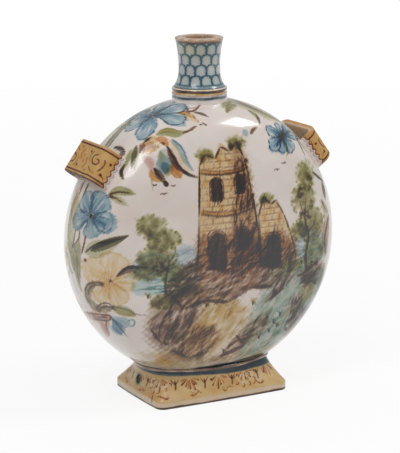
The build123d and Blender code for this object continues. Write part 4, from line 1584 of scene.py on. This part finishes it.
COLLAR_BANDS = (
    # drop below the collar's top in mm, height of the band, load and strength
    (0.5, 1, STRAW, 0.5),
    (2.1, 1.9, {MANGANESE: 1, IRON: 0.45}, 1.1),
    (3.9, 1.7, YELLOW, 1),
    (5.5, 1.8, {PINK: 0.5, COBALT: 0.14}, 0.9),
    (7.5, 1.9, {TURQUOISE: 0.3, COBALT: 0.8, MANGANESE: 0.4}, 1),
    # the last, faint blue-grey band is painted shade at the collar's foot, where it meets the body
    (9, 1.2, {COBALT: 0.3, PINK: 0.1}, 0.5),
)


def paint_collar(brush, z, turn, wave, is_collar):
    """The collar's bands, from its top down, each with a hand's waver; the last, faint one is painted shade
    at the collar's foot.
    """
    top = COLLAR_HIGH.z
    for k, (drop_mm, high, load, strength) in enumerate(COLLAR_BANDS):
        waver = 0.16 * mm * np.sin(turn * (3 + k) + k * 2) + 0.1 * mm * wave
        gap = np.abs(z - (top - drop_mm * mm) + waver)
        cover = clamp((high * mm / 2 - gap) / (0.35 * mm) + 0.5) * is_collar
        thin = 0.85 + 0.25 * np.sin(turn * 7 + k * 1.7) + 0.1 * np.sin(turn * 29 + k)
        brush.wash(cover * strength * thin, load)
    bare_gap = bell(z - top + 3 * mm, 0.45 * mm) * is_collar
    brush.wash(bare_gap * clamp(np.sin(turn * 4 + 0.6)) * 0.6, ORANGE)


# The foot

FAN_COUNT = 13
FIRST_FAN_SHARE = 0.734
WHITE_FANS = (1, 5, 8, 11)
CORNER_MARK_SHARE = 0.573
FAN_RAYS = 9
WHITE_FAN = pairs(-7, -1, -8.6, -6, -4, -10.6, 0, -12, 4, -10.6, 8.6, -6, 7, -1)
FAN_DROP = 6.2 * mm


def foot_place(share_around, height):
    """A point of the foot's skin by its share of the way around and its height."""
    return foot_ring(height, 0.0, FOOT_POINTS)[int(round(share_around % 1 * FOOT_POINTS)) % FOOT_POINTS]


def paint_foot(brush):
    """The foot's yellow ground, its cream edge, fans of rays, stems and scrolls."""
    x, y, z = brush.places.T
    out = (brush.normals[:, 0] * x + brush.normals[:, 1] * y) > 0
    top = bead_height()
    wave = np.sin(x * 130 + 1) * 0.5 + np.sin(y * 170 + x * 60) * 0.3 + np.sin(x * 420 - y * 310) * 0.2
    strong = clamp((x + 0.045) / 0.06)
    under = out * clamp((z - top + (4.4 + 2.4 * strong + 0.5 * wave) * mm) / (1.1 * mm))
    ground = out * clamp((z - sizes().foot_lip * 0.72 + wave * 0.4 * mm) / (1.6 * mm)) * (1 - 0.9 * under)
    mottle = 1 + 0.14 * np.sin(x * 210 + z * 300) + 0.12 * np.sin(y * 260 - z * 500 + x * 90)
    brush.wash(ground * mottle * 0.6, {ANTIMONY: 1})
    brush.wash(out * (1 - ground) * (1 - under) * (z > 1.2 * mm) * 0.3, {ANTIMONY: 0.8, PINK: 0.3})
    patches = clamp(np.sin(x * 75 + 0.4) * np.sin(y * 60 + z * 120 + 2))
    brush.wash(ground * patches * 0.22, {IRON: 0.6, ANTIMONY: 0.5})
    base = out * clamp((2.1 * mm + wave * 0.4 * mm - z) / (0.5 * mm))
    brush.wash(base * 1.1, {MANGANESE: 0.85, IRON: 0.4})
    brush.wash(out * clamp(1 - z / (0.5 * mm)) * 0.8, {BARE: 1})
    brush.wash(under * (0.6 + 0.4 * strong), {COBALT: 1.25, MANGANESE: 0.36})
    hole = np.hypot(y, z - sizes().cord_hole_height)
    around = out * (np.abs(x) > FOOT_HIGH.x * 0.8) * bell(hole - sizes().cord_hole, 1.5 * mm)
    brush.wash(around * 0.8, {COBALT: 0.5, TURQUOISE: 0.25, MANGANESE: 0.15})

    for k in range(FAN_COUNT):
        turn_share = (FIRST_FAN_SHARE + k / FAN_COUNT) % 1
        paint_fan(Spot(brush, foot_place(turn_share, top - FAN_DROP)), k in WHITE_FANS)
        paint_stem(Spot(brush, foot_place(turn_share + 0.5 / FAN_COUNT, top - 7 * mm)))
        paint_scroll(Spot(brush, foot_place(turn_share + 0.3 / FAN_COUNT, 9.6 * mm)), 1 if k % 2 else -1)
    crack = [foot_place(CORNER_MARK_SHARE, height * mm) for height in (9.5, 6.5, 3.5)]
    brush.stroke(crack, 1.3 * mm, BROWN, 0.9)


def paint_fan(spot, white):
    """A fan of rays that hangs from the line under the bead."""
    if white:
        spot.patch(WHITE_FAN, LIFT, 0.6, streak=0.5)
        for k in range(6):
            turn = radians(196 + 30 * k)
            reach = spot.stray(10.6, 1)
            arc = spiral(reach * cos(turn), reach * 1.1 * sin(turn), 2.1, 180 + 30 * k, 0.42)
            spot.stroke(arc, 0.8, RUST, 0.75)
    for k in range(FAN_RAYS):
        turn = radians(200 + 140 * k / (FAN_RAYS - 1) + spot.stray(0, 9))
        end = polar(turn, 7.2 + 2 * abs(sin(turn)) + spot.stray(0, 1.8))
        strength = spot.stray(0.85, 0.5)
        start = (2.6 * cos(turn), 1.6 * sin(turn))
        spot.stroke([start, end], spot.stray(1.5, 0.5), RUST if k % 3 == 1 else ORANGE, strength, "grow")
        if spot.brush.random.uniform() < 0.3:
            spot.dab(*end, spot.stray(1, 0.3), DARK, spot.stray(0.75, 0.4))
    for k in range(4 if white else 0):
        turn = radians(222 + 32 * k)
        spot.stroke([polar(turn, 3.4), polar(turn, 7.4)], 1.3, LIFT, 0.8, "leaf")


def paint_stem(spot):
    """A forked stem with a dot, between two fans."""
    spot.stroke([(0, -1), (0.3, -5), (-0.2, -9)], 1.2, BROWN, 0.9)
    spot.stroke([(0, -4), (-2.4, -1.6), (-3.4, 0.8)], 1, BROWN, 0.85, "tail")
    spot.stroke([(0, -4), (2.2, -1.8), (3.4, 0.6)], 1, BROWN, 0.85, "tail")


def paint_scroll(spot, hand):
    """A loose wavy tendril on the lower flare, with a few leaves, drawn with a nearly dry brush."""
    wave = [(hand * (step - 2) * 2.7, spot.stray(rise, 1.5)) for step,
        rise in enumerate((0.2, 1.8, 0.6, -1.6, 0.6))]
    spot.stroke(wave, spot.stray(0.9, 0.3), RUST, spot.stray(0.5, 0.3))
    spot.stroke([wave[3], (wave[3][0] + hand, 2.4), (wave[4][0], 2.2)], 0.8, RUST, 0.4, "tail")
    for k in range(3):
        x, y = wave[k + 1]
        tip = (x + spot.stray(hand * 1.6, 1.6), y + spot.stray(1.6, 1.4))
        spot.stroke([(x, y), tip], 1.5, ORANGE, spot.stray(0.5, 0.3), "leaf")


def paint_bead(brush):
    """The bead's reddish crest between two dark lines."""
    x, y, z = brush.places.T
    rise = (z - bead_height()) / sizes().bead
    wave = np.sin(x * 150 + y * 90) * 0.5 + np.sin(x * 370 - y * 240 + 1) * 0.3 + np.sin(x * 60 + 2) * 0.2
    pale = clamp((-x - 0.02) / 0.03)
    crest = clamp((0.34 - np.abs(rise - 0.12 + wave * 0.12)) / 0.2)
    brush.wash(crest * (1.05 - 0.4 * pale) * (0.9 + 0.3 * wave), {PINK: 0.8, IRON: 0.55, MANGANESE: 0.16})
    brush.wash(crest * pale * 0.3, STRAW)
    low = clamp((-0.14 - rise + wave * 0.12) / 0.2)
    high = clamp((rise - 0.38 + wave * 0.12) / 0.2)
    brush.wash(low * (1.25 - 0.5 * pale), {MANGANESE: 0.55, COBALT: 1.2})
    brush.wash(high * (1.15 - 0.5 * pale), {MANGANESE: 0.6, COBALT: 0.9})


def paint_waist_band(brush):
    """The dark band on the body's skin right above the bead, thin at the left end, and painted shade on the
    skin just over the bead.
    """
    x, y, z = brush.places.T
    above = z - bead_height()
    wave = np.sin(x * 140 + y * 70) * 0.5 + np.sin(x * 310 - y * 200 + 1) * 0.5
    strong = clamp((x + 0.035) / 0.06)
    high = (2.6 + 3.6 * strong + 0.5 * wave) * mm
    out = (brush.normals[:, 2] < 0) & (above > -1 * mm)
    brush.wash(out * clamp((high - above) / (0.9 * mm)) * (0.45 + 0.6 * strong),
        {MANGANESE: 0.75, COBALT: 0.6})
    # Painted shade: a faint blue-grey darkening of the skin that faces down, fading upwards from the bead
    # where the body meets the foot.
    soft = np.exp(-((above / (7 * mm)) ** 2)) * out
    brush.wash(soft * (0.16 + 0.12 * wave), {COBALT: 0.6, PINK: 0.4, COPPER: 0.2})


# The strap loops


def paint_loop(brush, side):
    """A loop's yellow ground, brown borders, scrolls and spots, its white ends, and painted shade on its
    lower edge.
    """
    s = sizes()
    out, along = loop_axes(side)
    away = brush.places - BODY_CENTRE
    reach, depth, lift = away @ out, away[:, 1], away @ along
    skin, edge_lift = 0.72 * s.strap, s.loop_length / 2
    faces_out = (np.abs(depth) > s.loop_half_depth - skin) | (reach > BODY_RADIUS + s.loop_rise - skin)
    # the distance from the end of the yellow ground, which is scalloped, towards the bend
    scallop = 2.2 * mm * (1 - np.abs(np.sin(lift / (5.6 * mm) * pi)))
    past = reach - (BODY_RADIUS - 2.4 * mm) - scallop
    wave = np.sin(lift * 700 + reach * 300) * 0.5 + np.sin(depth * 420 - lift * 510 + 1) * 0.5
    inside_margin = clamp((edge_lift - 2.6 * mm - np.abs(lift)) / (0.6 * mm))
    ground = faces_out * clamp(past / (0.7 * mm))
    brush.wash(ground * (0.62 + 0.2 * inside_margin + 0.09 * wave), {ANTIMONY: 1, IRON: 0.1})
    brush.wash(ground * (1 - inside_margin) * (0.24 + 0.1 * wave), {IRON: 0.7, PINK: 0.3})
    brush.wash((~faces_out) * clamp(past / (3 * mm)) * 0.3, {ANTIMONY: 0.8, PINK: 0.3})
    brush.wash(faces_out * bell(past, 0.55 * mm), {IRON: 0.5, MANGANESE: 0.6})
    brush.wash(faces_out * bell(past + 2.4 * mm, 0.5 * mm) * 0.5, {PINK: 0.7, MANGANESE: 0.3})
    for edge in (-1, 1):
        gap = np.abs(lift - edge * (edge_lift - 3 * mm) + 0.15 * mm * wave)
        brush.wash(ground * clamp((0.5 * mm - gap) / (0.45 * mm) + 0.5) * 0.95, {MANGANESE: 0.85, IRON: 0.3})
    # Painted shade: the strap's lower edge, which faces down, is darkened with brown, more so away from the
    # body.
    painted_shade_low_edge = clamp((-lift - edge_lift + 1.1 * mm) / (0.5 * mm)) * clamp(past / (6 * mm))
    brush.wash(painted_shade_low_edge * (0.9 + 0.3 * wave), {MANGANESE: 0.7, IRON: 0.25})
    for face in (-1, 1):
        paint_strap_face(LoopMarks(brush, side, face))


def paint_strap_face(mark):
    """The scrolls on one flat leg of a loop and on the bend beside it."""
    mark.stroke((9.2, 6.7, 14.3, 4.9, 14.2, 0.8, 8.5, -1.8, 4.1, -0.1, 4.9, 2.6, 8.6, 2.8), 1, BROWN)
    mark.stroke((-2.2, 5.3, -4.4, 2.2, -3.6, -2.4, -0.7, -5.8), 0.9, BROWN)
    mark.stroke((18, 8.6, 20.4, 4, 18.6, -0.5), 0.8, BROWN, "tail")
    for x, y in ((22.6, 7.1), (-9.4, 4.2), (-6.1, -7)):
        mark.dab(x, y, 2.2, ORANGE, 0.7)
        mark.dab(x, y, 1.3, DARK, 0.9)
    mark.stroke((-6.1, -7, -9, -8, -11, -9.4), 0.9, BROWN, "tail")
    mark.stroke((24, 1.5, 21, -3, 23, -8), 1.2, ORANGE)
    mark.stroke((14, -5, 9, -7.6, 3, -8.6), 1, RUST, "tail")
    mark.stroke((-12, 8.6, -13, 4, -12, -1), 1.1, ORANGE, "tail")
    for x, y in ((27, -2.5), (17, -8.8)):
        mark.dab(x, y, 1.8, ORANGE, 0.8)


class LoopMarks:
    """Draws on a strap by the length along it from its bend, and the place across it, in mm."""

    def __init__(self, brush, side, face):
        self.brush = brush
        self.side = side
        self.face = face

    def at(self, run, lift):
        reach = BODY_RADIUS + sizes().loop_rise + min(run, 0) * mm
        depth = max(0.0, sizes().loop_half_depth - max(run, 0) * mm)
        return loop_place(self.side, reach, self.face * depth, -self.face * lift * mm)

    def stroke(self, points, width, load, shape="line"):
        self.brush.stroke([self.at(x, y) for x, y in pairs(*points)], width * mm, load, 0.95, shape)

    def dab(self, run, lift, width, load, strength):
        self.brush.dab(self.at(run, lift), width * mm, load, strength, soft=0.5 * mm)


# Materials


class Nodes:
    """A short way to write a material's nodes."""

    def __init__(self, material):
        material.use_nodes = True
        self.tree = material.node_tree
        self.tree.nodes.clear()

    def add(self, kind, inputs=None, **values):
        node = self.tree.nodes.new(kind)
        for key, value in values.items():
            setattr(node, key, value)
        for key, value in (inputs or {}).items():
            if isinstance(value, bpy.types.NodeSocket):
                self.tree.links.new(value, node.inputs[key])
            else:
                node.inputs[key].default_value = value
        return node

    def math(self, operation, a, b=0.0, clamp=False):
        return self.add("ShaderNodeMath", {0: a, 1: b}, operation=operation, use_clamp=clamp).outputs[0]

    def scaled(self, vector, by):
        return self.add("ShaderNodeVectorMath", {0: vector, "Scale": by}, operation="SCALE").outputs[0]

    def noise(self, vector, scale, detail=3.0, roughness=0.55):
        inputs = {"Vector": vector, "Scale": scale, "Detail": detail, "Roughness": roughness}
        return self.add("ShaderNodeTexNoise", inputs).outputs["Fac"]

    def between(self, value, low, high, first=0.0, last=1.0):
        inputs = {"Value": value, "From Min": low, "From Max": high, "To Min": first, "To Max": last}
        return self.add("ShaderNodeMapRange", inputs, clamp=True).outputs["Result"]

    def mix(self, factor, a, b, blend="MIX"):
        node = self.add("ShaderNodeMix", data_type="RGBA", blend_type=blend)
        for socket, value in zip((node.inputs[0], node.inputs[6], node.inputs[7]), (factor, a, b)):
            if isinstance(value, bpy.types.NodeSocket):
                self.tree.links.new(value, socket)
            elif isinstance(value, (int, float)):
                socket.default_value = value
            else:
                socket.default_value = (*value, 1.0)
        return node.outputs[2]


def absorption(pigment):
    """How much of each light colour a pigment takes away at full strength."""
    return [-log(max(value, 0.004)) for value in pigment]


def clay_colour(nodes, place):
    """Fired clay: buff, with darker grains and pale specks."""
    clay = tuple(colours().clay)
    soft = nodes.noise(place, 260.0)
    grain = nodes.noise(place, 2100.0, 2.0)
    dark = tuple(value * 0.55 for value in clay)
    pale = tuple(min(1.0, value * 1.35) for value in clay)
    fine = nodes.between(grain, 0.38, 0.62)
    coarse = nodes.mix(nodes.between(soft, 0.35, 0.65), dark, clay)
    return nodes.mix(fine, coarse, pale)


def glaze_material(name, dull=0.0):
    """Tin glaze with pigments in it, a glassy skin (less so where it is dull), and worn places."""
    material = bpy.data.materials.new(name)
    nodes = Nodes(material)
    c = colours()
    place = nodes.add("ShaderNodeTexCoord").outputs["Object"]
    first = nodes.add("ShaderNodeAttribute", attribute_name="pigment_a")
    second = nodes.add("ShaderNodeAttribute", attribute_name="pigment_b")
    parts_a = nodes.add("ShaderNodeSeparateColor", {"Color": first.outputs["Color"]}).outputs
    parts_b = nodes.add("ShaderNodeSeparateColor", {"Color": second.outputs["Color"]}).outputs
    amounts = [*parts_a[:3], first.outputs["Alpha"], *parts_b[:3]]
    bare = second.outputs["Alpha"]
    inks = [c.cobalt, c.copper, c.antimony, c.iron, c.manganese, c.pink, c.turquoise]
    speckle = nodes.between(nodes.noise(place, 900.0, 4.0, 0.7), 0.3, 0.7, 0.82, 1.16)
    cloud = nodes.between(nodes.noise(place, 120.0, 3.0), 0.3, 0.7, 0.9, 1.1)
    grain = nodes.math("MULTIPLY", speckle, cloud)
    total = None
    for amount, ink in zip(amounts, inks):
        part = nodes.scaled(absorption(ink), amount)
        total = part if total is None else nodes.add("ShaderNodeVectorMath", {0: total, 1: part}).outputs[0]
    bands = nodes.add("ShaderNodeSeparateXYZ", {"Vector": nodes.scaled(total, grain)}).outputs
    passed = [nodes.math("EXPONENT", nodes.math("MULTIPLY", band, -1.0)) for band in bands]
    film = nodes.add("ShaderNodeCombineXYZ", {"X": passed[0], "Y": passed[1], "Z": passed[2]}).outputs[0]

    white = tuple(c.white)
    warm = (white[0] * 0.93, white[1] * 0.88, white[2] * 0.86)
    cool = (white[0] * 0.93, white[1] * 0.96, white[2] * 0.97)
    tint = nodes.mix(nodes.between(nodes.noise(place, 26.0, 2.0), 0.36, 0.64), warm, white)
    tint = nodes.mix(nodes.between(nodes.noise(place, 47.0, 2.0), 0.45, 0.75, 0.0, 0.7), tint, cool)
    pits = nodes.add("ShaderNodeTexVoronoi", {"Vector": place, "Scale": 190.0}, feature="F1")
    hole = nodes.between(pits.outputs["Distance"], 0.045, 0.075, 1.0, 0.0)
    rare = nodes.between(nodes.noise(place, 60.0, 1.0), 0.56, 0.6)
    hole = nodes.math("MULTIPLY", hole, rare)
    tint = nodes.mix(nodes.math("MULTIPLY", hole, 0.55), tint, tuple(v * 0.3 for v in c.clay))
    painted = nodes.mix(1.0, tint, film, "MULTIPLY")
    torn = nodes.math("ADD", bare, nodes.between(nodes.noise(place, 700.0, 4.0, 0.7), 0.3, 0.7, -0.35, 0.35))
    torn = nodes.math("MULTIPLY", nodes.between(torn, 0.42, 0.58), nodes.between(bare, 0.02, 0.1))
    base = nodes.mix(torn, painted, clay_colour(nodes, place))

    swell = nodes.noise(place, 34.0, 2.0)
    orange_peel = nodes.noise(place, 420.0, 2.0)
    height = nodes.math("ADD", nodes.math("MULTIPLY", swell, 1.0), nodes.math("MULTIPLY", orange_peel, 0.035))
    height = nodes.math("SUBTRACT", height, nodes.math("MULTIPLY", hole, 0.12))
    height = nodes.math("SUBTRACT", height, nodes.math("MULTIPLY", torn, 0.25))
    bump = nodes.add("ShaderNodeBump", {"Height": height, "Strength": 0.35, "Distance": 0.0011})
    rough = nodes.between(nodes.noise(place, 300.0, 3.0), 0.3, 0.7, 0.16 + 0.3 * dull, 0.26 + 0.4 * dull)
    rough = nodes.add("ShaderNodeMix", {0: torn, 2: rough, 3: 0.85}, data_type="FLOAT").outputs[0]
    coat = nodes.between(torn, 0.0, 1.0, 0.6 * (1 - dull), 0.0)
    inputs = {"Base Color": base, "Roughness": rough, "IOR": 1.5, "Coat Weight": coat}
    inputs.update({"Coat Roughness": 0.05 + 0.1 * dull, "Normal": bump.outputs["Normal"]})
    shader = nodes.add("ShaderNodeBsdfPrincipled", inputs)
    nodes.add("ShaderNodeOutputMaterial", {"Surface": shader.outputs[0]})
    return material


def clay_material(name):
    """Bare fired clay, as inside the flask."""
    material = bpy.data.materials.new(name)
    nodes = Nodes(material)
    place = nodes.add("ShaderNodeTexCoord").outputs["Object"]
    height = nodes.noise(place, 900.0, 5.0, 0.65)
    bump = nodes.add("ShaderNodeBump", {"Height": height, "Strength": 0.6, "Distance": 0.0004})
    rough = nodes.between(height, 0.3, 0.7, 0.75, 0.95)
    inputs = {"Base Color": clay_colour(nodes, place), "Roughness": rough, "Normal": bump.outputs["Normal"]}
    shader = nodes.add("ShaderNodeBsdfPrincipled", inputs)
    nodes.add("ShaderNodeOutputMaterial", {"Surface": shader.outputs[0]})
    return material


def glaze(piece, material, node):
    """Give a piece its material and its place in the frame, and hide the fired shape that it stands for."""
    piece.data.materials.clear()
    piece.data.materials.append(material)
    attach(piece, "root")
    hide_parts(node)


# The pieces, one operator each


class FLASK_OT_body(bpy.types.Operator):
    """Make and paint both halves of the body"""

    bl_idname = "flask.body"
    bl_label = "Body"

    def execute(self, context):
        front, back = make_body()
        brush = Brush([front, back], seed=11, skin=body_skin)
        paint_body(brush)
        brush.dry()
        material = glaze_material("painted_tin_glaze")
        glaze(front, material, "front_shell")
        glaze(back, material, "back_shell")
        return {"FINISHED"}


class FLASK_OT_neck(bpy.types.Operator):
    """Make and paint the neck and its collar"""

    bl_idname = "flask.neck"
    bl_label = "Neck and Collar"

    def execute(self, context):
        envelope = make_envelope()
        neck = make_neck()
        collar = make_collar()
        cut_away(neck, envelope)
        cut_away(collar, envelope)
        drop(envelope)
        brush = Brush([neck, collar], seed=23)
        paint_neck(brush)
        brush.dry()
        glaze(neck, glaze_material("blue_scale_glaze"), "neck")
        glaze(collar, glaze_material("banded_glaze"), "neck_collar")
        return {"FINISHED"}


class FLASK_OT_foot(bpy.types.Operator):
    """Make and paint the foot and the bead around the waist"""

    bl_idname = "flask.foot"
    bl_label = "Foot and Bead"

    def execute(self, context):
        envelope = make_envelope()
        foot = make_foot(envelope)
        bead = make_bead()
        cut_away(bead, envelope)
        drop(envelope)
        brush = Brush([foot], seed=37)
        paint_foot(brush)
        brush.dry()
        brush = Brush([bead], seed=41)
        paint_bead(brush)
        brush.dry()
        glaze(foot, glaze_material("yellow_foot_glaze", 0.35), "foot")
        glaze(bead, glaze_material("dark_bead_glaze"), "waist_moulding")
        return {"FINISHED"}


class FLASK_OT_loops(bpy.types.Operator):
    """Make and paint the two strap loops"""

    bl_idname = "flask.loops"
    bl_label = "Strap Loops"

    def execute(self, context):
        envelope = make_envelope()
        for side, word in ((-1, "left"), (1, "right")):
            loop = make_loop(f"painted_{word}_loop", side, envelope)
            brush = Brush([loop], seed=53 + side)
            paint_loop(brush, side)
            brush.dry()
            glaze(loop, glaze_material(f"yellow_{word}_loop_glaze", 1.0), f"{word}_strap_loop")
        drop(envelope)
        return {"FINISHED"}


class FLASK_OT_inside(bpy.types.Operator):
    """Give the roll of clay inside the joint its bare finish"""

    bl_idname = "flask.inside"
    bl_label = "Inside"

    def execute(self, context):
        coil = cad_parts["seam_coil"]
        material = clay_material("bare_clay")
        if not coil.material_slots:
            coil.data.materials.append(material)
        for slot in coil.material_slots:
            slot.material = material
        return {"FINISHED"}


class FLASK_OT_stage(bpy.types.Operator):
    """Make the floor, the lamps, the pale surround and the camera"""

    bl_idname = "flask.stage"
    bl_label = "Stage"

    def execute(self, context):
        make_floor()
        make_lamps()
        make_surround()
        make_camera()
        scene = context.scene
        scene.view_settings.view_transform = "Standard"
        return {"FINISHED"}


def body_skin(places):
    """Which points of the body lie on its outside."""
    away = places - BODY_CENTRE
    radius = np.hypot(away[:, 0], away[:, 2])
    profile = body_profile(sizes().wall / 2)
    return np.abs(away[:, 1]) > np.interp(radius, profile[:, 0], profile[:, 1], right=-1.0)


# Stage


FLOOR_SIZE = 6.0
SENSOR_WIDTH = 36.0
LAMP_AIM = (0.0, 0.0, 0.15)
LAMPS = (
    # name, place, width and height in metres, and the setting of its power
    ("left_soft_box", (-0.86, -0.5, 1.5), 0.6, 0.9, "key_power"),
    ("right_window", (1.0, -0.5, 1.4), 0.66, 0.42, "fill_power"),
)
STUDIO_WHITE = (0.985, 0.985, 0.985)


def whitened(nodes, plain, bright):
    """A shader that the camera and reflections see in its bright form, and light in its plain one."""
    path = nodes.add("ShaderNodeLightPath").outputs
    seen = nodes.math("MAXIMUM", path["Is Camera Ray"], path["Is Glossy Ray"])
    seen = nodes.math("MAXIMUM", seen, path["Is Transmission Ray"])
    return nodes.add("ShaderNodeMixShader", {0: seen, 1: plain, 2: bright}).outputs[0]


def make_floor():
    bm = bmesh.new()
    bmesh.ops.create_grid(bm, x_segments=8, y_segments=8, size=FLOOR_SIZE / 2)
    floor = piece_from(bm, "floor")
    material = bpy.data.materials.new("pale_floor")
    nodes = Nodes(material)
    plain = nodes.add("ShaderNodeBsdfDiffuse", {"Color": (0.82, 0.82, 0.82, 1)}).outputs[0]
    place = nodes.add("ShaderNodeTexCoord").outputs["Object"]
    away = nodes.add("ShaderNodeVectorMath", {0: place}, operation="LENGTH").outputs["Value"]
    glow = nodes.between(away, 0.3, 2.4, studio().floor_glow, studio().floor_glow + 0.08)
    lift = nodes.add("ShaderNodeEmission", {"Color": (1, 1, 1, 1), "Strength": glow}).outputs[0]
    shaded = nodes.add("ShaderNodeBsdfDiffuse", {"Color": (0.14, 0.14, 0.14, 1)}).outputs[0]
    bright = nodes.add("ShaderNodeAddShader", {0: shaded, 1: lift}).outputs[0]
    nodes.add("ShaderNodeOutputMaterial", {"Surface": whitened(nodes, plain, bright)})
    floor.data.materials.append(material)


def make_surround():
    world = bpy.data.worlds.new("studio")
    bpy.context.scene.world = world
    nodes = Nodes(world)
    plain = nodes.add("ShaderNodeBackground", {"Color": (1, 1, 1, 1), "Strength": studio().sky}).outputs[0]
    bright = nodes.add("ShaderNodeBackground", {"Color": (*STUDIO_WHITE, 1), "Strength": 1.0}).outputs[0]
    path = nodes.add("ShaderNodeLightPath").outputs
    surface = nodes.add("ShaderNodeMixShader", {0: path["Is Camera Ray"], 1: plain, 2: bright}).outputs[0]
    nodes.add("ShaderNodeOutputWorld", {"Surface": surface})


def make_lamps():
    """Soft boxes that shine towards the flask's middle."""
    for name, place, width, height, power in LAMPS:
        lamp = bpy.data.lights.new(name, "AREA")
        lamp.shape = "RECTANGLE"
        lamp.size = width
        lamp.size_y = height
        lamp.energy = getattr(studio(), power)
        box = bpy.data.objects.new(name, lamp)
        box.location = place
        box.rotation_euler = (Vector(place) - Vector(LAMP_AIM)).to_track_quat("Z", "Y").to_euler()
        bpy.context.scene.collection.objects.link(box)


def make_camera():
    view = studio()
    place, right, up, back = camera_axes()
    camera = bpy.data.cameras.new("camera")
    camera.sensor_fit = "HORIZONTAL"
    camera.sensor_width = SENSOR_WIDTH
    camera.lens = SENSOR_WIDTH * view.focal_pixels / IMAGE_WIDTH
    camera.shift_x = view.shift_x_pixels / IMAGE_WIDTH
    camera.shift_y = view.shift_y_pixels / IMAGE_WIDTH
    stand = bpy.data.objects.new("camera", camera)
    matrix = Matrix.Identity(4)
    for column, axis in enumerate((right, up, back, place)):
        for row in range(3):
            matrix[row][column] = axis[row]
    stand.matrix_world = matrix
    bpy.context.scene.collection.objects.link(stand)
    bpy.context.scene.camera = stand


# The sidebar's panel, and the script's run


class FLASK_PT_panel(bpy.types.Panel):
    """Lists the pieces of the flask and the stage"""

    bl_idname = "FLASK_PT_panel"
    bl_label = "Pilgrim Flask"
    bl_space_type = "VIEW_3D"
    bl_region_type = "UI"
    bl_category = "Flask"

    def draw(self, context):
        layout = self.layout
        for operator in OPERATORS:
            layout.operator(operator.bl_idname)
        for heading, group in (
            ("Sizes", context.scene.flask_sizes),
            ("Colours", context.scene.flask_colours),
            ("Studio", context.scene.flask_studio),
        ):
            box = layout.box()
            box.label(text=heading)
            for name in group.__annotations__:
                box.prop(group, name)


GROUPS = (FlaskSizes, FlaskColours, FlaskStudio)
OPERATORS = (FLASK_OT_body, FLASK_OT_neck, FLASK_OT_foot, FLASK_OT_loops, FLASK_OT_inside, FLASK_OT_stage)


def register():
    for made in (*GROUPS, *OPERATORS, FLASK_PT_panel):
        bpy.utils.register_class(made)
    bpy.types.Scene.flask_sizes = PointerProperty(type=FlaskSizes)
    bpy.types.Scene.flask_colours = PointerProperty(type=FlaskColours)
    bpy.types.Scene.flask_studio = PointerProperty(type=FlaskStudio)


def unregister():
    del bpy.types.Scene.flask_studio
    del bpy.types.Scene.flask_colours
    del bpy.types.Scene.flask_sizes
    for made in reversed((*GROUPS, *OPERATORS, FLASK_PT_panel)):
        bpy.utils.unregister_class(made)


def main():
    register()
    bpy.ops.flask.body()
    bpy.ops.flask.neck()
    bpy.ops.flask.foot()
    bpy.ops.flask.loops()
    bpy.ops.flask.inside()
    bpy.ops.flask.stage()


if __name__ == "__main__":
    main()
